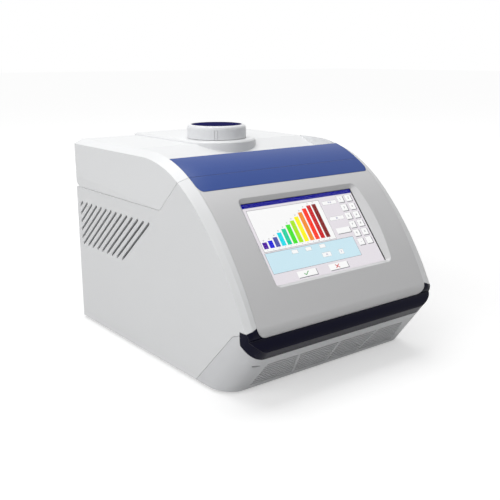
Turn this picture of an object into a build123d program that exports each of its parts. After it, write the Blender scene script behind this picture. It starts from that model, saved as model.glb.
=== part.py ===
from build123d import *
import os
from math import asin, atan2, cos, degrees, radians, sin, sqrt, tan

os.makedirs("parts", exist_ok=True)

# Bench thermal cycler. X to the right seen from the front, front towards -Y, Z up.
# The origin is on the bench, under the middle of the case. All sizes in millimetres.

# Overall size and shell
body_width = 260.0
body_depth = 345.0
foot_height = 3.0
roof_height = 225.0
wall = 3.0
seam = 0.3
half_width = body_width / 2
rear_y = body_depth / 2
front_y = -body_depth / 2
overcut = 1.0

# Crown of the case seen from the side: flat roof, three arcs, straight apron, rolled lip.
# Each reach is measured back from the front of the case.
crown_reach = 184.0
shoulder_radius = 140.0
shoulder_angle = 30.0
brow_radius = 200.0
brow_angle = 16.0
fascia_radius = 357.0
fascia_angle = 16.0
apron_length = 14.0
lip_radius = 12.0
lip_angle = 58.0

# Nose of the case: bumper strip and the chin that slopes back under it
bumper_height = 57.5
chin_top_height = 46.0
chin_top_inset = 7.0
chin_foot_inset = 39.0
chin_corner_radius = 22.0

# Soft edge rail down both sides of the roof and the front
rail_width = 12.0
rail_width_front = 6.5
rail_drop = 5.0
rail_drop_front = 3.2
rear_corner_radius = 3.0

# Parting between the lid and the base
parting_height = 168.0
parting_reach = 150.5
parting_radius = 10.0
parting_crest_reach = 115.3
parting_crest_height = 201.5
parting_exit_share = 0.55

# Slanted finger grip along the foot of the lid's sides, deepest at the rear
grip_rise = 13.5
grip_depth = 1.8
grip_length = 215.0

# Glossy band over the front edge of the lid, split by the parting
band_thickness = 2.5
band_top_reach = 148.6
band_bottom_reach = 94.6
band_corner_radius = 6.0

# Finger dish behind the band and the round-ended platform under the knob
dish_start_reach = 213.0
dish_angle = 18.5
dish_end_reach = 142.0
dish_undercut = 8.0
dish_lip = 5.0
dish_side = 2.0
platform_radius = 46.0
platform_rise = 3.0
platform_bevel = 2.0

# Knob
knob_reach = 230.3
knob_radius = 35.0
knob_height = 15.5
knob_gap = 0.4
knob_edge_radius = 4.5
knob_cap_radius = 30.0
knob_cap_thickness = 1.5
knob_wall = 3.0
knob_hub_radius = 11.0
marker_width = 1.2
marker_height = 0.6
marker_spacing = 3.0
marker_bearing = 232.0

# Screw and heated plate in the lid
spindle_radius = 6.0
spindle_clearance = 0.05
spindle_passage = 1.0
bush_radius = 9.0
bush_flange_radius = 13.0
bush_flange = 2.0
plate_travel = 6.0
heated_plate_length = 130.0
heated_plate_width = 90.0
heated_plate_thickness = 8.0
heated_plate_bevel = 1.0
heated_plate_rise = 13.0
heater_thickness = 1.5
carrier_thickness = 8.0
carrier_margin = 3.0
nut_radius = 13.0
nut_height = 10.0
collar_thickness = 2.0
beam_drop = 11.0
beam_thickness = 4.0
beam_width = 30.0
beam_length = 190.0
beam_boss_radius = 5.0
beam_boss_spacing = 16.0
press_gap = 0.02
liner_rise = 2.8
liner_thickness = 2.5
liner_front_gap = 6.0
liner_rear_setback = 22.0
post_radius = 3.0
post_spacing = 104.0
post_boss_radius = 6.5
post_boss_height = 7.0

# Front panel, screen and its recess
panel_thickness = 3.0
panel_corner_radius = 12.0
panel_lift = 0.5
panel_ledge = 3.0
cross_bar_overlap = 6.0
screen_width = 154.4
screen_length = 91.2
screen_tilt = 50.7
screen_reach = 54.8
screen_height = 143.0
recess_flare = 45.0
recess_height = 14.0
recess_corner = 2.0
bracket_width = 176.0
bracket_length = 106.0
bracket_thickness = 2.0
bracket_window_width = 92.6
bracket_window_length = 54.7
bracket_post = 3.0
glass_thickness = 1.8
display_thickness = 9.0
display_border = 7.0
display_rear_width = 77.2
display_rear_length = 45.6
well_wall = 2.5

# Bumper ends and the chin cover with its grille
bumper_thickness = 4.0
bumper_corner_radius = 25.0
bumper_tip_height = 75.0
bumper_tip_rise = 5.0
bumper_tip_inset = 2.0
bumper_wrap = 16.0
chin_wall = 2.5
chin_seam_foot = 89.0
chin_seam_angle = 46.0
chin_seam_height = 68.0
grille_rows = 9
grille_pitch = 4.0
grille_slot = 2.0
grille_top = 14.0
grille_inset_top = 35.0
grille_inset_foot = 26.0
grille_rib = 3.0
grille_rib_x = 60.0
grille_rib_lean = 15.0
slit_length = 9.0
slit_width = 2.4
slit_inset = 18.0
slit_fall = 11.0
filter_thickness = 3.0

# Slanted vents in the sides of the base
vent_count = 14
vent_pitch = 12.0
vent_width = 3.0
vent_drop = 16.7
vent_fall = 53.5
vent_first_setback = 17.0
vent_run = 64.0
vent_rear_limit = 10.0

# Chassis
ledge = 6.0
tray_thickness = 1.5
rear_sheet = 2.0
rear_opening_drop = 16.0
deck_drop = 3.0
deck_thickness = 3.0
deck_shoulder_rise = 18.0
window_gap = 3.0

# Sample block, coolers and heat sink
well_columns = 12
well_rows = 8
well_pitch = 9.0
well_top_radius = 3.1
well_foot_radius = 1.4
well_depth = 15.0
block_length = 128.0
block_width = 88.0
block_height = 22.0
block_rise = 3.0
gasket_gap = 0.3
gasket_height = 6.0
gasket_lip = 1.5
block_step = 5.0
block_step_width = 6.0
cooler_size = 40.0
cooler_thickness = 4.0
cooler_columns = 3
cooler_rows = 2
cooler_gap = 2.0
sink_length = 150.0
sink_width = 110.0
sink_base = 10.0
fin_height = 38.0
fin_thickness = 2.0
fin_count = 21
bracket_sheet = 2.0
bracket_flange = 14.0
bracket_drop = 2.0
bracket_share = 0.8

# Hinges
hinge_radius = 8.6
hinge_spacing = 160.0
knuckle_width = 16.0
knuckle_radius = 6.0
pin_radius = 3.0
pin_clearance = 0.05
ear_thickness = 3.0
ear_gap = 0.3
hinge_notch = 20.0
hinge_foot = 15.0
hinge_sheet = 2.5
ear_rise = 8.0
ear_top = 24.0

# Fan and duct
fan_size = 92.0
fan_depth = 25.0
fan_inset = 72.0
fan_drop = 70.0
fan_bore_radius = 43.0
fan_hub_radius = 19.0
fan_blade_gap = 1.5
fan_blades = 7
fan_blade_chord = 18.0
fan_blade_pitch = 35.0
fan_stator = 4.0
fan_arm = 5.0
fan_screw_hole = 2.2
duct_wall = 2.0
fan_blade_thickness = 1.8
fan_shaft_radius = 3.0
fan_hole_spacing = 82.5
fan_corner = 4.0
fan_arms = 3
fan_rotor_gap = 0.6
fan_hub_length = 18.0
guard_slot = 4.0
guard_pitch = 7.5
guard_first = 6.0
guard_rings = 5
guard_rib = 4.0

# Power entry and ports on the rear panel
inlet_inset = 52.0
inlet_height = 42.0
inlet_width = 27.0
entry_tall = 24.0
inlet_depth = 22.0
inlet_flange = 4.0
inlet_flange_thickness = 2.0
socket_width = 24.0
socket_tall = 16.0
socket_depth = 17.0
pin_blade = 2.0
pin_blade_tall = 6.0
pin_blade_length = 14.0
pin_spacing = 7.0
pin_drop = 2.0
socket_chamfer = 4.0
drawer_spacing = 32.0
drawer_width = 16.0
drawer_tall = 20.0
drawer_clearance = 0.1
drawer_length = 18.0
drawer_wall = 2.0
drawer_face = 0.8
drawer_notch = 3.0
switch_inset = 22.0
switch_width = 17.0
switch_tall = 23.0
switch_depth = 16.0
switch_flange = 1.5
rocker_width = 13.0
rocker_reach = 9.9
rocker_gap = 0.2
rocker_rise = 4.0
rocker_back = 3.0
rocker_throw = 8.0
rocker_axle_radius = 1.5
rocker_axle = 16.4
rocker_sink = 1.8
usb_height = 92.0
usb_width = 13.2
usb_tall = 5.8
usb_depth = 14.0
usb_pitch = 12.0
usb_shell = 0.6
usb_tongue = 1.8

# Power supply and control board on the tray
supply_length = 120.0
supply_width = 84.0
supply_height = 42.0
supply_sheet = 1.2
supply_slots = 9
supply_slot_pitch = 11.0
supply_slot_length = 28.0
board_length = 150.0
board_width = 56.0
board_thickness = 1.6
board_reach = 128.5
standoff_height = 10.0
standoff_radius = 3.0
chip_size = 14.0
chip_height = 2.0
header_length = 30.0
header_width = 7.0
header_height = 8.0
chips = 4
headers = 3
header_spacing = 9.0

# Catch of the lid
magnet_radius = 4.0
magnet_height = 3.0
magnet_inset = 30.0
magnet_setback = 14.0
catch_radius = 6.0

# Feet and screws
foot_radius = 9.0
foot_inset_x = 24.0
foot_inset_front = 62.0
foot_inset_rear = 24.0
foot_stem_radius = 4.0
foot_stem_rise = 1.0
screw_radius = 3.2
screw_head = 1.6
tray_vents = 12
tray_vent_pitch = 12.0
tray_vent_length = 40.0
tray_vent_gap = 16.0
tray_vent_reach = 162.5

# Places that follow from the sizes above
crown_y = front_y + crown_reach
crown_setback = body_depth - crown_reach
band_top_setback = body_depth - band_top_reach
band_bottom_setback = body_depth - band_bottom_reach
knob_y = front_y + knob_reach
screen_y = front_y + screen_reach
board_y = front_y + board_reach
tray_vent_y = front_y + tray_vent_reach
block_top = parting_height + block_rise
heated_plate_height = parting_height + heated_plate_rise
liner_height = parting_height + liner_rise
deck_shoulder = parting_height + deck_shoulder_rise
beam_height = roof_height - beam_drop
vent_top_height = parting_height - vent_drop
vent_foot_height = vent_top_height - vent_fall
rear_opening_top = parting_height - rear_opening_drop
fan_height = rear_opening_top - fan_drop
fan_x = half_width - fan_inset
switch_x = switch_inset - half_width
inlet_x = inlet_inset - half_width
drawer_x = inlet_x + drawer_spacing
usb_x = inlet_x
grille_half_top = half_width - grille_inset_top
grille_half_foot = half_width - grille_inset_foot
slit_x = half_width - slit_inset
magnet_spacing = 2 * (half_width - magnet_inset)
platform_top = roof_height + platform_rise
hinge_y = rear_y - hinge_radius
lid_bottom = parting_height + seam
hinge_height = lid_bottom + hinge_radius
deck_top = parting_height - deck_drop
block_bottom = block_top - block_height
sink_top = block_bottom - cooler_thickness
inner_half = half_width - wall
rail_angle = degrees(atan2(rail_drop, rail_width))
band_half = half_width - rail_width
panel_half = band_half
far = 400.0
parting_corner_y = front_y + parting_reach
parting_crest_y = front_y + parting_crest_reach
parting_rise = parting_crest_height - parting_height
magnet_y = parting_corner_y + magnet_setback
liner_front_y = parting_corner_y + liner_front_gap
liner_rear_y = rear_y - liner_rear_setback
sheet_rear_y = rear_y - wall
sheet_front_y = sheet_rear_y - rear_sheet
tray_front_y = front_y + chin_seam_foot + seam
entry_left = inlet_x - inlet_width / 2
entry_right = drawer_x + drawer_width / 2 + inlet_flange / 2
entry_x = (entry_left + entry_right) / 2
entry_width = entry_right - entry_left
foot_x = half_width - foot_inset_x
front_foot_y = front_y + foot_inset_front
rear_foot_y = rear_y - foot_inset_rear
parting_exit_setback = band_top_setback + (band_bottom_setback - band_top_setback) * parting_exit_share
dish_start_y = front_y + dish_start_reach
dish_end_y = front_y + dish_end_reach
dish_half = band_half - dish_side
dish_floor = roof_height - (dish_start_y - dish_end_y - dish_undercut) * tan(radians(dish_angle))
brow_edge_y = front_y + band_top_reach


def crown_point(setback):
    """Point and outward normal of the crown, for a distance back from the rear face."""
    run = setback - crown_setback
    y, z, angle = crown_y, roof_height, 0.0
    if run <= 0:
        return Vector(0, rear_y - setback, roof_height), Vector(0, 0, 1)
    for radius, sweep in (
        (shoulder_radius, shoulder_angle),
        (brow_radius, brow_angle),
        (fascia_radius, fascia_angle),
    ):
        start = radians(angle)
        end = radians(angle + sweep)
        length = radius * (sin(end) - sin(start))
        if run <= length:
            here = asin(sin(start) + run / radius)
            point = Vector(0, y - run, z - radius * (cos(start) - cos(here)))
            return point, Vector(0, -sin(here), cos(here))
        run -= length
        y -= length
        z -= radius * (cos(start) - cos(end))
        angle += sweep
    slope = radians(angle)
    return Vector(0, y - run, z - run * tan(slope)), Vector(0, -sin(slope), cos(slope))


def crown_lines(inset=0.0, roof_drop=0.0, front_drop=0.0):
    """Points of each arc and line from the flat roof to the end of the rolled lip."""
    y, z, angle = crown_y, roof_height, 0.0
    lines = []
    for radius, sweep, drops in (
        (shoulder_radius, shoulder_angle, (roof_drop, roof_drop, roof_drop)),
        (brow_radius, brow_angle, (roof_drop, roof_drop, roof_drop)),
        (fascia_radius, fascia_angle, (roof_drop, (roof_drop + front_drop) / 2, front_drop)),
        (None, apron_length, (front_drop, front_drop)),
        (lip_radius, lip_angle, (front_drop, front_drop / 2, 0.0)),
    ):
        points = []
        for step, drop in enumerate(drops):
            share = step / (len(drops) - 1)
            if radius is None:
                turn = radians(angle)
                py = y - share * sweep * cos(turn)
                pz = z - share * sweep * sin(turn)
            else:
                turn = radians(angle + share * sweep)
                py = y - radius * (sin(turn) - sin(radians(angle)))
                pz = z - radius * (cos(radians(angle)) - cos(turn))
            depth = inset + drop
            points.append((py + depth * sin(turn), pz - depth * cos(turn)))
        y, z = py, pz
        angle = degrees(turn)
        lines.append(points)
    return lines


def side_outline(inset=0.0, x=0.0, roof_drop=0.0, front_drop=0.0):
    """Closed outline of the case at one x, lowered by its rail drops and moved inwards."""
    lines = crown_lines(inset, roof_drop, front_drop)
    rear = rear_y - inset
    floor = foot_height + inset
    slope = atan2(chin_top_height - foot_height, chin_foot_inset - chin_top_inset)
    chin_top = (
        front_y + chin_top_inset + inset * sin(slope),
        chin_top_height + inset * cos(slope),
    )
    chin_foot = (chin_top[0] + (chin_top[1] - floor) / tan(slope), floor)
    with BuildSketch(Plane.YZ.offset(x)) as outline:
        with BuildLine():
            Line((rear, floor), (rear, lines[0][0][1]))
            Line((rear, lines[0][0][1]), lines[0][0])
            for points in lines:
                if len(points) == 3:
                    ThreePointArc(*points)
                else:
                    Line(*points)
            ThreePointArc(lines[-1][-1], (front_y + inset, bumper_height), chin_top)
            Line(chin_top, chin_foot)
            Line(chin_foot, (rear, floor))
        make_face()
    return outline.sketch


def chin_prism(inset=0.0):
    """Column with rounded front corners, laid along the slope of the chin."""
    drop = chin_top_height - foot_height
    run = chin_foot_inset - chin_top_inset
    slope = Vector(0, run, -drop).normalized()
    plane = Plane(
        origin=(0, front_y + chin_top_inset, chin_top_height), x_dir=(1, 0, 0), z_dir=slope
    )
    reach = half_width - inset
    inward = 1 if plane.y_dir.Y > 0 else -1
    with BuildPart() as prism:
        with BuildSketch(plane):
            with Locations((0, inward * (inset + far / 2))):
                Rectangle(2 * reach, far)
            front = vertices().sort_by(Axis.Y)[0 if inward > 0 else -1]
            corners = vertices().filter_by(
                lambda v: abs(v.Y - front.Y) < 0.01
            )
            fillet(corners, chin_corner_radius - inset)
        extrude(amount=far, both=True)
    return prism.part


def case_form(inset=0.0):
    """Solid of the whole case, moved inwards by inset, with its rails and corners."""
    shift = inset * tan(radians(rail_angle / 2))
    less = inset * (1 - tan(radians(45 - rail_angle / 2)))
    inner_x = half_width - rail_width - shift
    middle_x = half_width - rail_width_front - shift
    outer_x = half_width - inset
    share = 1 - rail_width_front / rail_width
    with BuildPart() as form:
        extrude(side_outline(inset), amount=inner_x, dir=(1, 0, 0), both=True)
        for side in (-1, 1):
            loft(
                [
                    side_outline(inset, side * inner_x),
                    side_outline(inset, side * middle_x, rail_drop * share),
                    side_outline(
                        inset, side * outer_x, rail_drop - less, rail_drop_front - less
                    ),
                ],
                ruled=True,
            )
        add(chin_prism(inset), mode=Mode.INTERSECT)
        with BuildSketch() as plan:
            Rectangle(2 * outer_x, 2 * (rear_y - inset))
            fillet(plan.vertices().group_by(Axis.Y)[-1], max(rear_corner_radius - inset, 0.5))
        extrude(amount=far, mode=Mode.INTERSECT)
    return form.part


def parting_points():
    """Corners of the parting line, from the rear to where it leaves the skin."""
    corner = Vector(0, parting_corner_y, parting_height)
    crest = Vector(0, parting_crest_y, parting_crest_height)
    normal = crown_point(rear_y - crest.Y)[1]
    return corner, crest, crest + normal * far / 4


def lid_zone(gap=0.0):
    """Everything above the parting, seen from the side, less a gap."""
    corner, crest, beyond = parting_points()
    with BuildSketch(Plane.YZ) as zone:
        with BuildLine():
            Polyline(
                (far, parting_height),
                (corner.Y, corner.Z),
                (crest.Y, crest.Z),
                (beyond.Y, beyond.Z),
                (far, beyond.Z),
                close=True,
            )
        make_face()
        bend = zone.vertices().sort_by_distance((corner.Y, corner.Z, 0))[0]
        fillet(bend, parting_radius)
        if gap:
            offset(amount=-gap, kind=Kind.INTERSECTION)
    return zone.sketch


def across(side_view, reach=far):
    """Solid of a side view, taken out to both sides of the middle."""
    with BuildPart() as solid:
        extrude(side_view, amount=reach, dir=(1, 0, 0), both=True)
    return solid.part


def forwards(front_view):
    """Solid of a front view, taken forwards from where the view stands."""
    with BuildPart() as solid:
        extrude(front_view, amount=far, dir=(0, -1, 0))
    return solid.part


def skin_reach(setback_from, setback_to, reach):
    """Block that holds the skin between two places along the crown."""
    near, near_normal = crown_point(setback_from)
    end, end_normal = crown_point(setback_to)
    deep = wall * 4
    corners = (
        near + near_normal * deep,
        near - near_normal * deep,
        end - end_normal * deep,
        end + end_normal * deep,
    )
    with BuildPart() as block:
        with BuildSketch(Plane.YZ.offset(-reach)):
            with BuildLine():
                Polyline(*[(corner.Y, corner.Z) for corner in corners], close=True)
            make_face()
        extrude(amount=2 * reach)
    return block.part


def front_rectangle(reach, foot, top, corner_radius):
    """Front view of a plate whose two lower corners are rounded."""
    with BuildSketch(Plane.XZ.offset(-crown_y)) as zone:
        with BuildLine():
            Polyline((-reach, top), (-reach, foot), (reach, foot), (reach, top), close=True)
        make_face()
        fillet(zone.vertices().group_by(Axis.Y)[0], corner_radius)
    return zone.sketch


def panel_zone(gap=0.0):
    """Front view of the fascia."""
    return front_rectangle(
        panel_half + gap,
        lip_height + panel_lift - gap,
        band_foot + wall * 4,
        panel_corner_radius + gap,
    )


def band_zone(gap=0.0):
    """Front view of the lower half of the band."""
    return front_rectangle(
        band_half + gap, band_foot - gap, roof_height, band_corner_radius + gap
    )


def bumper_zone(gap=0.0):
    """Front view of the bumper strip, whose ends sweep up to a point."""
    reach = half_width + overcut
    inner = panel_half - bumper_tip_inset
    tip = bumper_tip_height + gap
    with BuildSketch(Plane.XZ.offset(-front_y - bumper_wrap)) as zone:
        with BuildLine():
            Polyline(
                (-reach, chin_top_height - gap),
                (reach, chin_top_height - gap),
                (reach, tip),
                (inner, tip + bumper_tip_rise),
                (-inner, tip + bumper_tip_rise),
                (-reach, tip),
                close=True,
            )
        make_face()
        fillet(zone.vertices().group_by(Axis.Y)[0], bumper_corner_radius + gap)
    return zone.sketch


def chin_zone(gap=0.0):
    """Side view of the cover under the bumper, in front of its slanted seam."""
    foot_y = front_y + chin_seam_foot
    run = (chin_seam_height - foot_height) / tan(radians(chin_seam_angle))
    front = front_y - wall * 4
    with BuildSketch(Plane.YZ) as zone:
        with BuildLine():
            Polyline(
                (foot_y + wall / tan(radians(chin_seam_angle)), foot_height - wall),
                (foot_y - run, chin_seam_height),
                (front_y + wall, bumper_tip_height + overcut),
                (front, bumper_tip_height + overcut),
                (front, foot_height - wall),
                close=True,
            )
        make_face()
        if gap:
            offset(amount=gap, kind=Kind.INTERSECTION)
    return zone.sketch


def dish_prism(grow=0.0):
    """Space of the finger dish. The grown one also holds the wall round it."""
    lift = wall * 4
    with BuildSketch(Plane.YZ) as view:
        with BuildLine():
            Polyline(
                (dish_start_y + lift / tan(radians(dish_angle)), roof_height + lift),
                (dish_end_y + dish_undercut, dish_floor),
                (dish_end_y, dish_floor),
                (dish_end_y, brow_height - dish_lip * 2),
                (brow_edge_y - overcut, brow_height - dish_lip),
                (brow_edge_y, roof_height + lift),
                close=True,
            )
        make_face()
        if grow:
            offset(amount=grow, kind=Kind.INTERSECTION)
    return across(view.sketch, dish_half + grow)


def platform_prism(radius, top, bevel=0.0):
    """Round-ended column under the knob that runs straight back to the rear edge."""
    foot = parting_height + wall * 8
    with BuildPart() as prism:
        with BuildSketch(Plane.XY.offset(foot)):
            with Locations((0, knob_y)):
                Circle(radius)
            with Locations((0, (knob_y + rear_y) / 2)):
                Rectangle(2 * radius, rear_y - knob_y)
        extrude(amount=top - foot)
        if bevel:
            rim = prism.faces().sort_by(Axis.Z)[-1].edges()
            chamfer(rim.filter_by(lambda e: e.center().Y < rear_y - overcut), bevel)
    return prism.part


def hinge_corner(radius):
    """Corner below and behind the hinge line, outside a round of this radius."""
    reach = hinge_radius + wall * 2
    with BuildSketch(Plane.YZ) as view:
        with Locations((hinge_y + reach / 2, hinge_height - reach / 2)):
            Rectangle(reach, reach)
        with Locations((hinge_y, hinge_height)):
            Circle(radius, mode=Mode.SUBTRACT)
    return across(view.sketch)


def grip_wedge(side):
    """Space outside the slanted grip face on one side of the lid."""
    top = Vector(side * half_width, rear_y, parting_height + grip_rise)
    foot = Vector(side * (half_width - grip_depth), rear_y, parting_height)
    end = Vector(side * half_width, rear_y - grip_length, parting_height)
    outward = (foot - top).cross(end - top).normalized()
    if outward.X * side < 0:
        outward = -outward
    with BuildPart() as wedge:
        with BuildSketch(Plane(origin=top, x_dir=(0, 1, 0), z_dir=outward)):
            Rectangle(2 * far, 2 * far)
        extrude(amount=wall * 4)
    return wedge.part


def side_ledges(x_outer, y_from, y_to, z_from, thickness):
    """Two strips along the insides of the side walls."""
    with BuildPart() as ledges:
        for side in (-1, 1):
            with Locations((side * (x_outer - ledge / 2), (y_from + y_to) / 2, z_from)):
                Box(
                    ledge,
                    y_to - y_from,
                    thickness,
                    align=(Align.CENTER, Align.CENTER, Align.MIN),
                )
    return ledges.part


lip_height = crown_lines()[-1][-1][1]
band_foot = crown_point(band_bottom_setback)[0].Z
brow_height = crown_point(band_top_setback)[0].Z

outer_form = case_form()
inner_form = case_form(wall)
panel_form = case_form(panel_thickness)
ledge_form = case_form(panel_thickness + panel_ledge)
bumper_form = case_form(bumper_thickness)
chin_form = case_form(chin_wall)
band_form = case_form(band_thickness)
brow_form = case_form(band_thickness + wall)

# Walls that stay inside the lid: round the finger dish and under the brow
with BuildPart() as dish_wall:
    add(dish_prism(wall))
    add(platform_prism(platform_radius - wall, platform_top), mode=Mode.SUBTRACT)

with BuildPart() as brow_wall:
    add(skin_reach(band_top_setback - wall, band_bottom_setback, half_width))
    add(brow_form, mode=Mode.SUBTRACT)

# Hollow of the lid: open below, closed along the slanted parting
with BuildPart() as lid_hollow:
    add(across(lid_zone(seam + wall)))
    with BuildSketch(Plane.XY.offset(parting_height - wall)):
        with Locations((0, (parting_corner_y + rear_y) / 2 + wall)):
            Rectangle(body_width, rear_y - parting_corner_y)
    extrude(amount=wall * 4)
    add(inner_form, mode=Mode.INTERSECT)
    add(brow_wall.part, mode=Mode.SUBTRACT)
    add(dish_wall.part, mode=Mode.SUBTRACT)
    add(hinge_corner(hinge_radius - wall), mode=Mode.SUBTRACT)

# Lid shell: crown, platform, finger dish and the nose that carries the upper band
with BuildPart() as lid_shell:
    add(outer_form)
    add(across(lid_zone(seam)), mode=Mode.INTERSECT)
    add(dish_prism(), mode=Mode.SUBTRACT)
    add(platform_prism(platform_radius, platform_top, platform_bevel))
    add(skin_reach(band_top_setback, band_bottom_setback, band_half + seam / 2), mode=Mode.SUBTRACT)
    add(lid_hollow.part, mode=Mode.SUBTRACT)
    add(hinge_corner(hinge_radius), mode=Mode.SUBTRACT)
    add(
        side_ledges(
            inner_half + overcut, liner_front_y, liner_rear_y, liner_height + liner_thickness, wall
        )
    )
    with Locations((0, knob_y, platform_top)):
        Cylinder(bush_radius + press_gap, far / 4, mode=Mode.SUBTRACT)
    with BuildSketch(Plane.XY.offset(beam_height + beam_thickness)):
        with Locations((0, knob_y)):
            with GridLocations(beam_length - beam_boss_radius * 2, beam_boss_spacing, 2, 2):
                Circle(beam_boss_radius)
    extrude(amount=roof_height - wall / 2 - beam_height - beam_thickness)
    with Locations(
        (-hinge_spacing / 2, rear_y, hinge_height), (hinge_spacing / 2, rear_y, hinge_height)
    ):
        Box(hinge_notch, hinge_radius * 2, hinge_notch, mode=Mode.SUBTRACT)
    for side in (-1, 1):
        add(grip_wedge(side), mode=Mode.SUBTRACT)
lid_shell.part.label = "lid_shell"
export_step(lid_shell.part, "parts/lid_shell.step")

with BuildPart() as band_upper:
    add(outer_form)
    add(band_form, mode=Mode.SUBTRACT)
    add(
        skin_reach(band_top_setback, band_bottom_setback, band_half - seam / 2),
        mode=Mode.INTERSECT,
    )
    add(across(lid_zone(seam)), mode=Mode.INTERSECT)
band_upper.part.label = "band_upper"
export_step(band_upper.part, "parts/band_upper.step")

# Base housing: side walls with their rails, rear frame, front cross bar and ledges
with BuildPart() as cross_bar:
    add(panel_form)
    add(ledge_form, mode=Mode.SUBTRACT)
    add(
        skin_reach(
            parting_exit_setback, band_bottom_setback + cross_bar_overlap, inner_half + overcut
        ),
        mode=Mode.INTERSECT,
    )

with BuildPart() as rail_ledges:
    add(panel_form)
    add(ledge_form, mode=Mode.SUBTRACT)
    add(
        skin_reach(parting_exit_setback, body_depth - wall * 3, inner_half + overcut),
        mode=Mode.INTERSECT,
    )
    with BuildSketch(Plane.XY.offset(foot_height)):
        Rectangle(2 * (panel_half - ledge), body_depth)
    extrude(amount=far, mode=Mode.SUBTRACT)

with BuildPart() as side_vents:
    with BuildSketch(Plane.YZ.offset(-half_width - overcut)):
        for index in range(vent_count):
            top = Vector(rear_y - vent_first_setback - index * vent_pitch, vent_top_height)
            foot = Vector(top.X + vent_run, vent_foot_height)
            middle = (top + foot) / 2
            length = (top - foot).length
            with Locations((middle.X, middle.Y)):
                SlotOverall(
                    length,
                    vent_width,
                    rotation=degrees(atan2(top.Y - foot.Y, top.X - foot.X)),
                )
        with Locations((rear_y - vent_rear_limit + vent_run, vent_foot_height)):
            Rectangle(2 * vent_run, far, mode=Mode.SUBTRACT)
    extrude(amount=body_width + 2 * overcut)

with BuildPart() as housing_shell:
    add(outer_form)
    add(inner_form, mode=Mode.SUBTRACT)
    add(across(chin_zone(seam)), mode=Mode.SUBTRACT)
    add(forwards(bumper_zone(seam)), mode=Mode.SUBTRACT)
    add(forwards(panel_zone(seam / 2)), mode=Mode.SUBTRACT)
    add(forwards(band_zone(seam / 2)), mode=Mode.SUBTRACT)
    add(cross_bar.part)
    add(rail_ledges.part)
    add(across(lid_zone()), mode=Mode.SUBTRACT)
    with BuildSketch(Plane.XY.offset(foot_height - overcut)):
        Rectangle(2 * inner_half, 2 * (rear_y - wall))
    extrude(amount=wall + 2 * overcut, mode=Mode.SUBTRACT)
    with BuildSketch(Plane.XZ.offset(-rear_y - overcut)):
        with Locations((0, (foot_height - overcut + rear_opening_top) / 2)):
            Rectangle(2 * (inner_half - ledge), rear_opening_top - foot_height + overcut)
    extrude(amount=wall + 2 * overcut, mode=Mode.SUBTRACT)
    add(side_vents.part, mode=Mode.SUBTRACT)
    for ledge_front_y, ledge_height in (
        (tray_front_y, foot_height + tray_thickness),
        (parting_corner_y + ledge, deck_top - deck_thickness - wall),
    ):
        add(
            side_ledges(
                inner_half + overcut, ledge_front_y, sheet_front_y - overcut, ledge_height, wall
            )
        )
housing_shell.part.label = "housing_shell"
export_step(housing_shell.part, "parts/housing_shell.step")

with BuildPart() as band_lower:
    add(outer_form)
    add(panel_form, mode=Mode.SUBTRACT)
    add(forwards(band_zone()), mode=Mode.INTERSECT)
    add(across(lid_zone()), mode=Mode.SUBTRACT)
band_lower.part.label = "band_lower"
export_step(band_lower.part, "parts/band_lower.step")

# Fascia with the flared recess down to the screen
screen_plane = Plane(
    origin=(0, screen_y, screen_height),
    x_dir=(1, 0, 0),
    z_dir=(0, -sin(radians(screen_tilt)), cos(radians(screen_tilt))),
)

with BuildPart() as recess:
    with BuildSketch(screen_plane):
        RectangleRounded(screen_width, screen_length, recess_corner)
    extrude(amount=recess_height, taper=-recess_flare)

with BuildPart() as recess_wall:
    with BuildSketch(screen_plane):
        RectangleRounded(
            screen_width + 2 * well_wall, screen_length + 2 * well_wall, recess_corner + well_wall
        )
    extrude(amount=recess_height, taper=-recess_flare)
    add(outer_form, mode=Mode.INTERSECT)

with BuildPart() as front_panel:
    add(outer_form)
    add(panel_form, mode=Mode.SUBTRACT)
    add(forwards(panel_zone()), mode=Mode.INTERSECT)
    add(forwards(band_zone(seam / 2)), mode=Mode.SUBTRACT)
    add(recess_wall.part)
    add(recess.part, mode=Mode.SUBTRACT)
    with BuildSketch(screen_plane.offset(-overcut)):
        Rectangle(screen_width, screen_length)
    extrude(amount=2 * overcut, mode=Mode.SUBTRACT)
front_panel.part.label = "front_panel"
export_step(front_panel.part, "parts/front_panel.step")

with BuildPart() as touch_glass:
    with BuildSketch(screen_plane):
        RectangleRounded(
            screen_width + 2 * well_wall, screen_length + 2 * well_wall, recess_corner
        )
    extrude(amount=-glass_thickness)
touch_glass.part.label = "touch_glass"
export_step(touch_glass.part, "parts/touch_glass.step")

display_back = glass_thickness + seam / 2 + display_thickness
with BuildPart() as display_module:
    with BuildSketch(screen_plane.offset(-glass_thickness - seam / 2)):
        Rectangle(screen_width + display_border, screen_length + display_border)
    extrude(amount=-display_thickness)
    with BuildSketch(screen_plane.offset(-display_back)):
        Rectangle(display_rear_width, display_rear_length)
    extrude(amount=-glass_thickness)
display_module.part.label = "display_module"
export_step(display_module.part, "parts/display_module.step")

with BuildPart() as display_bracket:
    with BuildSketch(screen_plane.offset(-display_back)):
        Rectangle(bracket_width, bracket_length)
        Rectangle(bracket_window_width, bracket_window_length, mode=Mode.SUBTRACT)
    extrude(amount=-bracket_thickness)
    with BuildSketch(screen_plane.offset(-display_back)):
        with GridLocations(
            bracket_width - 2 * bracket_post, bracket_length - 2 * bracket_post, 2, 2
        ):
            Circle(bracket_post)
    extrude(amount=display_back + recess_height)
    add(panel_form, mode=Mode.INTERSECT)
display_bracket.part.label = "display_bracket"
export_step(display_bracket.part, "parts/display_bracket.step")

# Glossy strip under the fascia and the slotted cover below it
with BuildPart() as bumper_strip:
    add(outer_form)
    add(bumper_form, mode=Mode.SUBTRACT)
    add(forwards(bumper_zone()), mode=Mode.INTERSECT)
    add(forwards(panel_zone(seam)), mode=Mode.SUBTRACT)
bumper_strip.part.label = "bumper_strip"
export_step(bumper_strip.part, "parts/bumper_strip.step")

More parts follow.
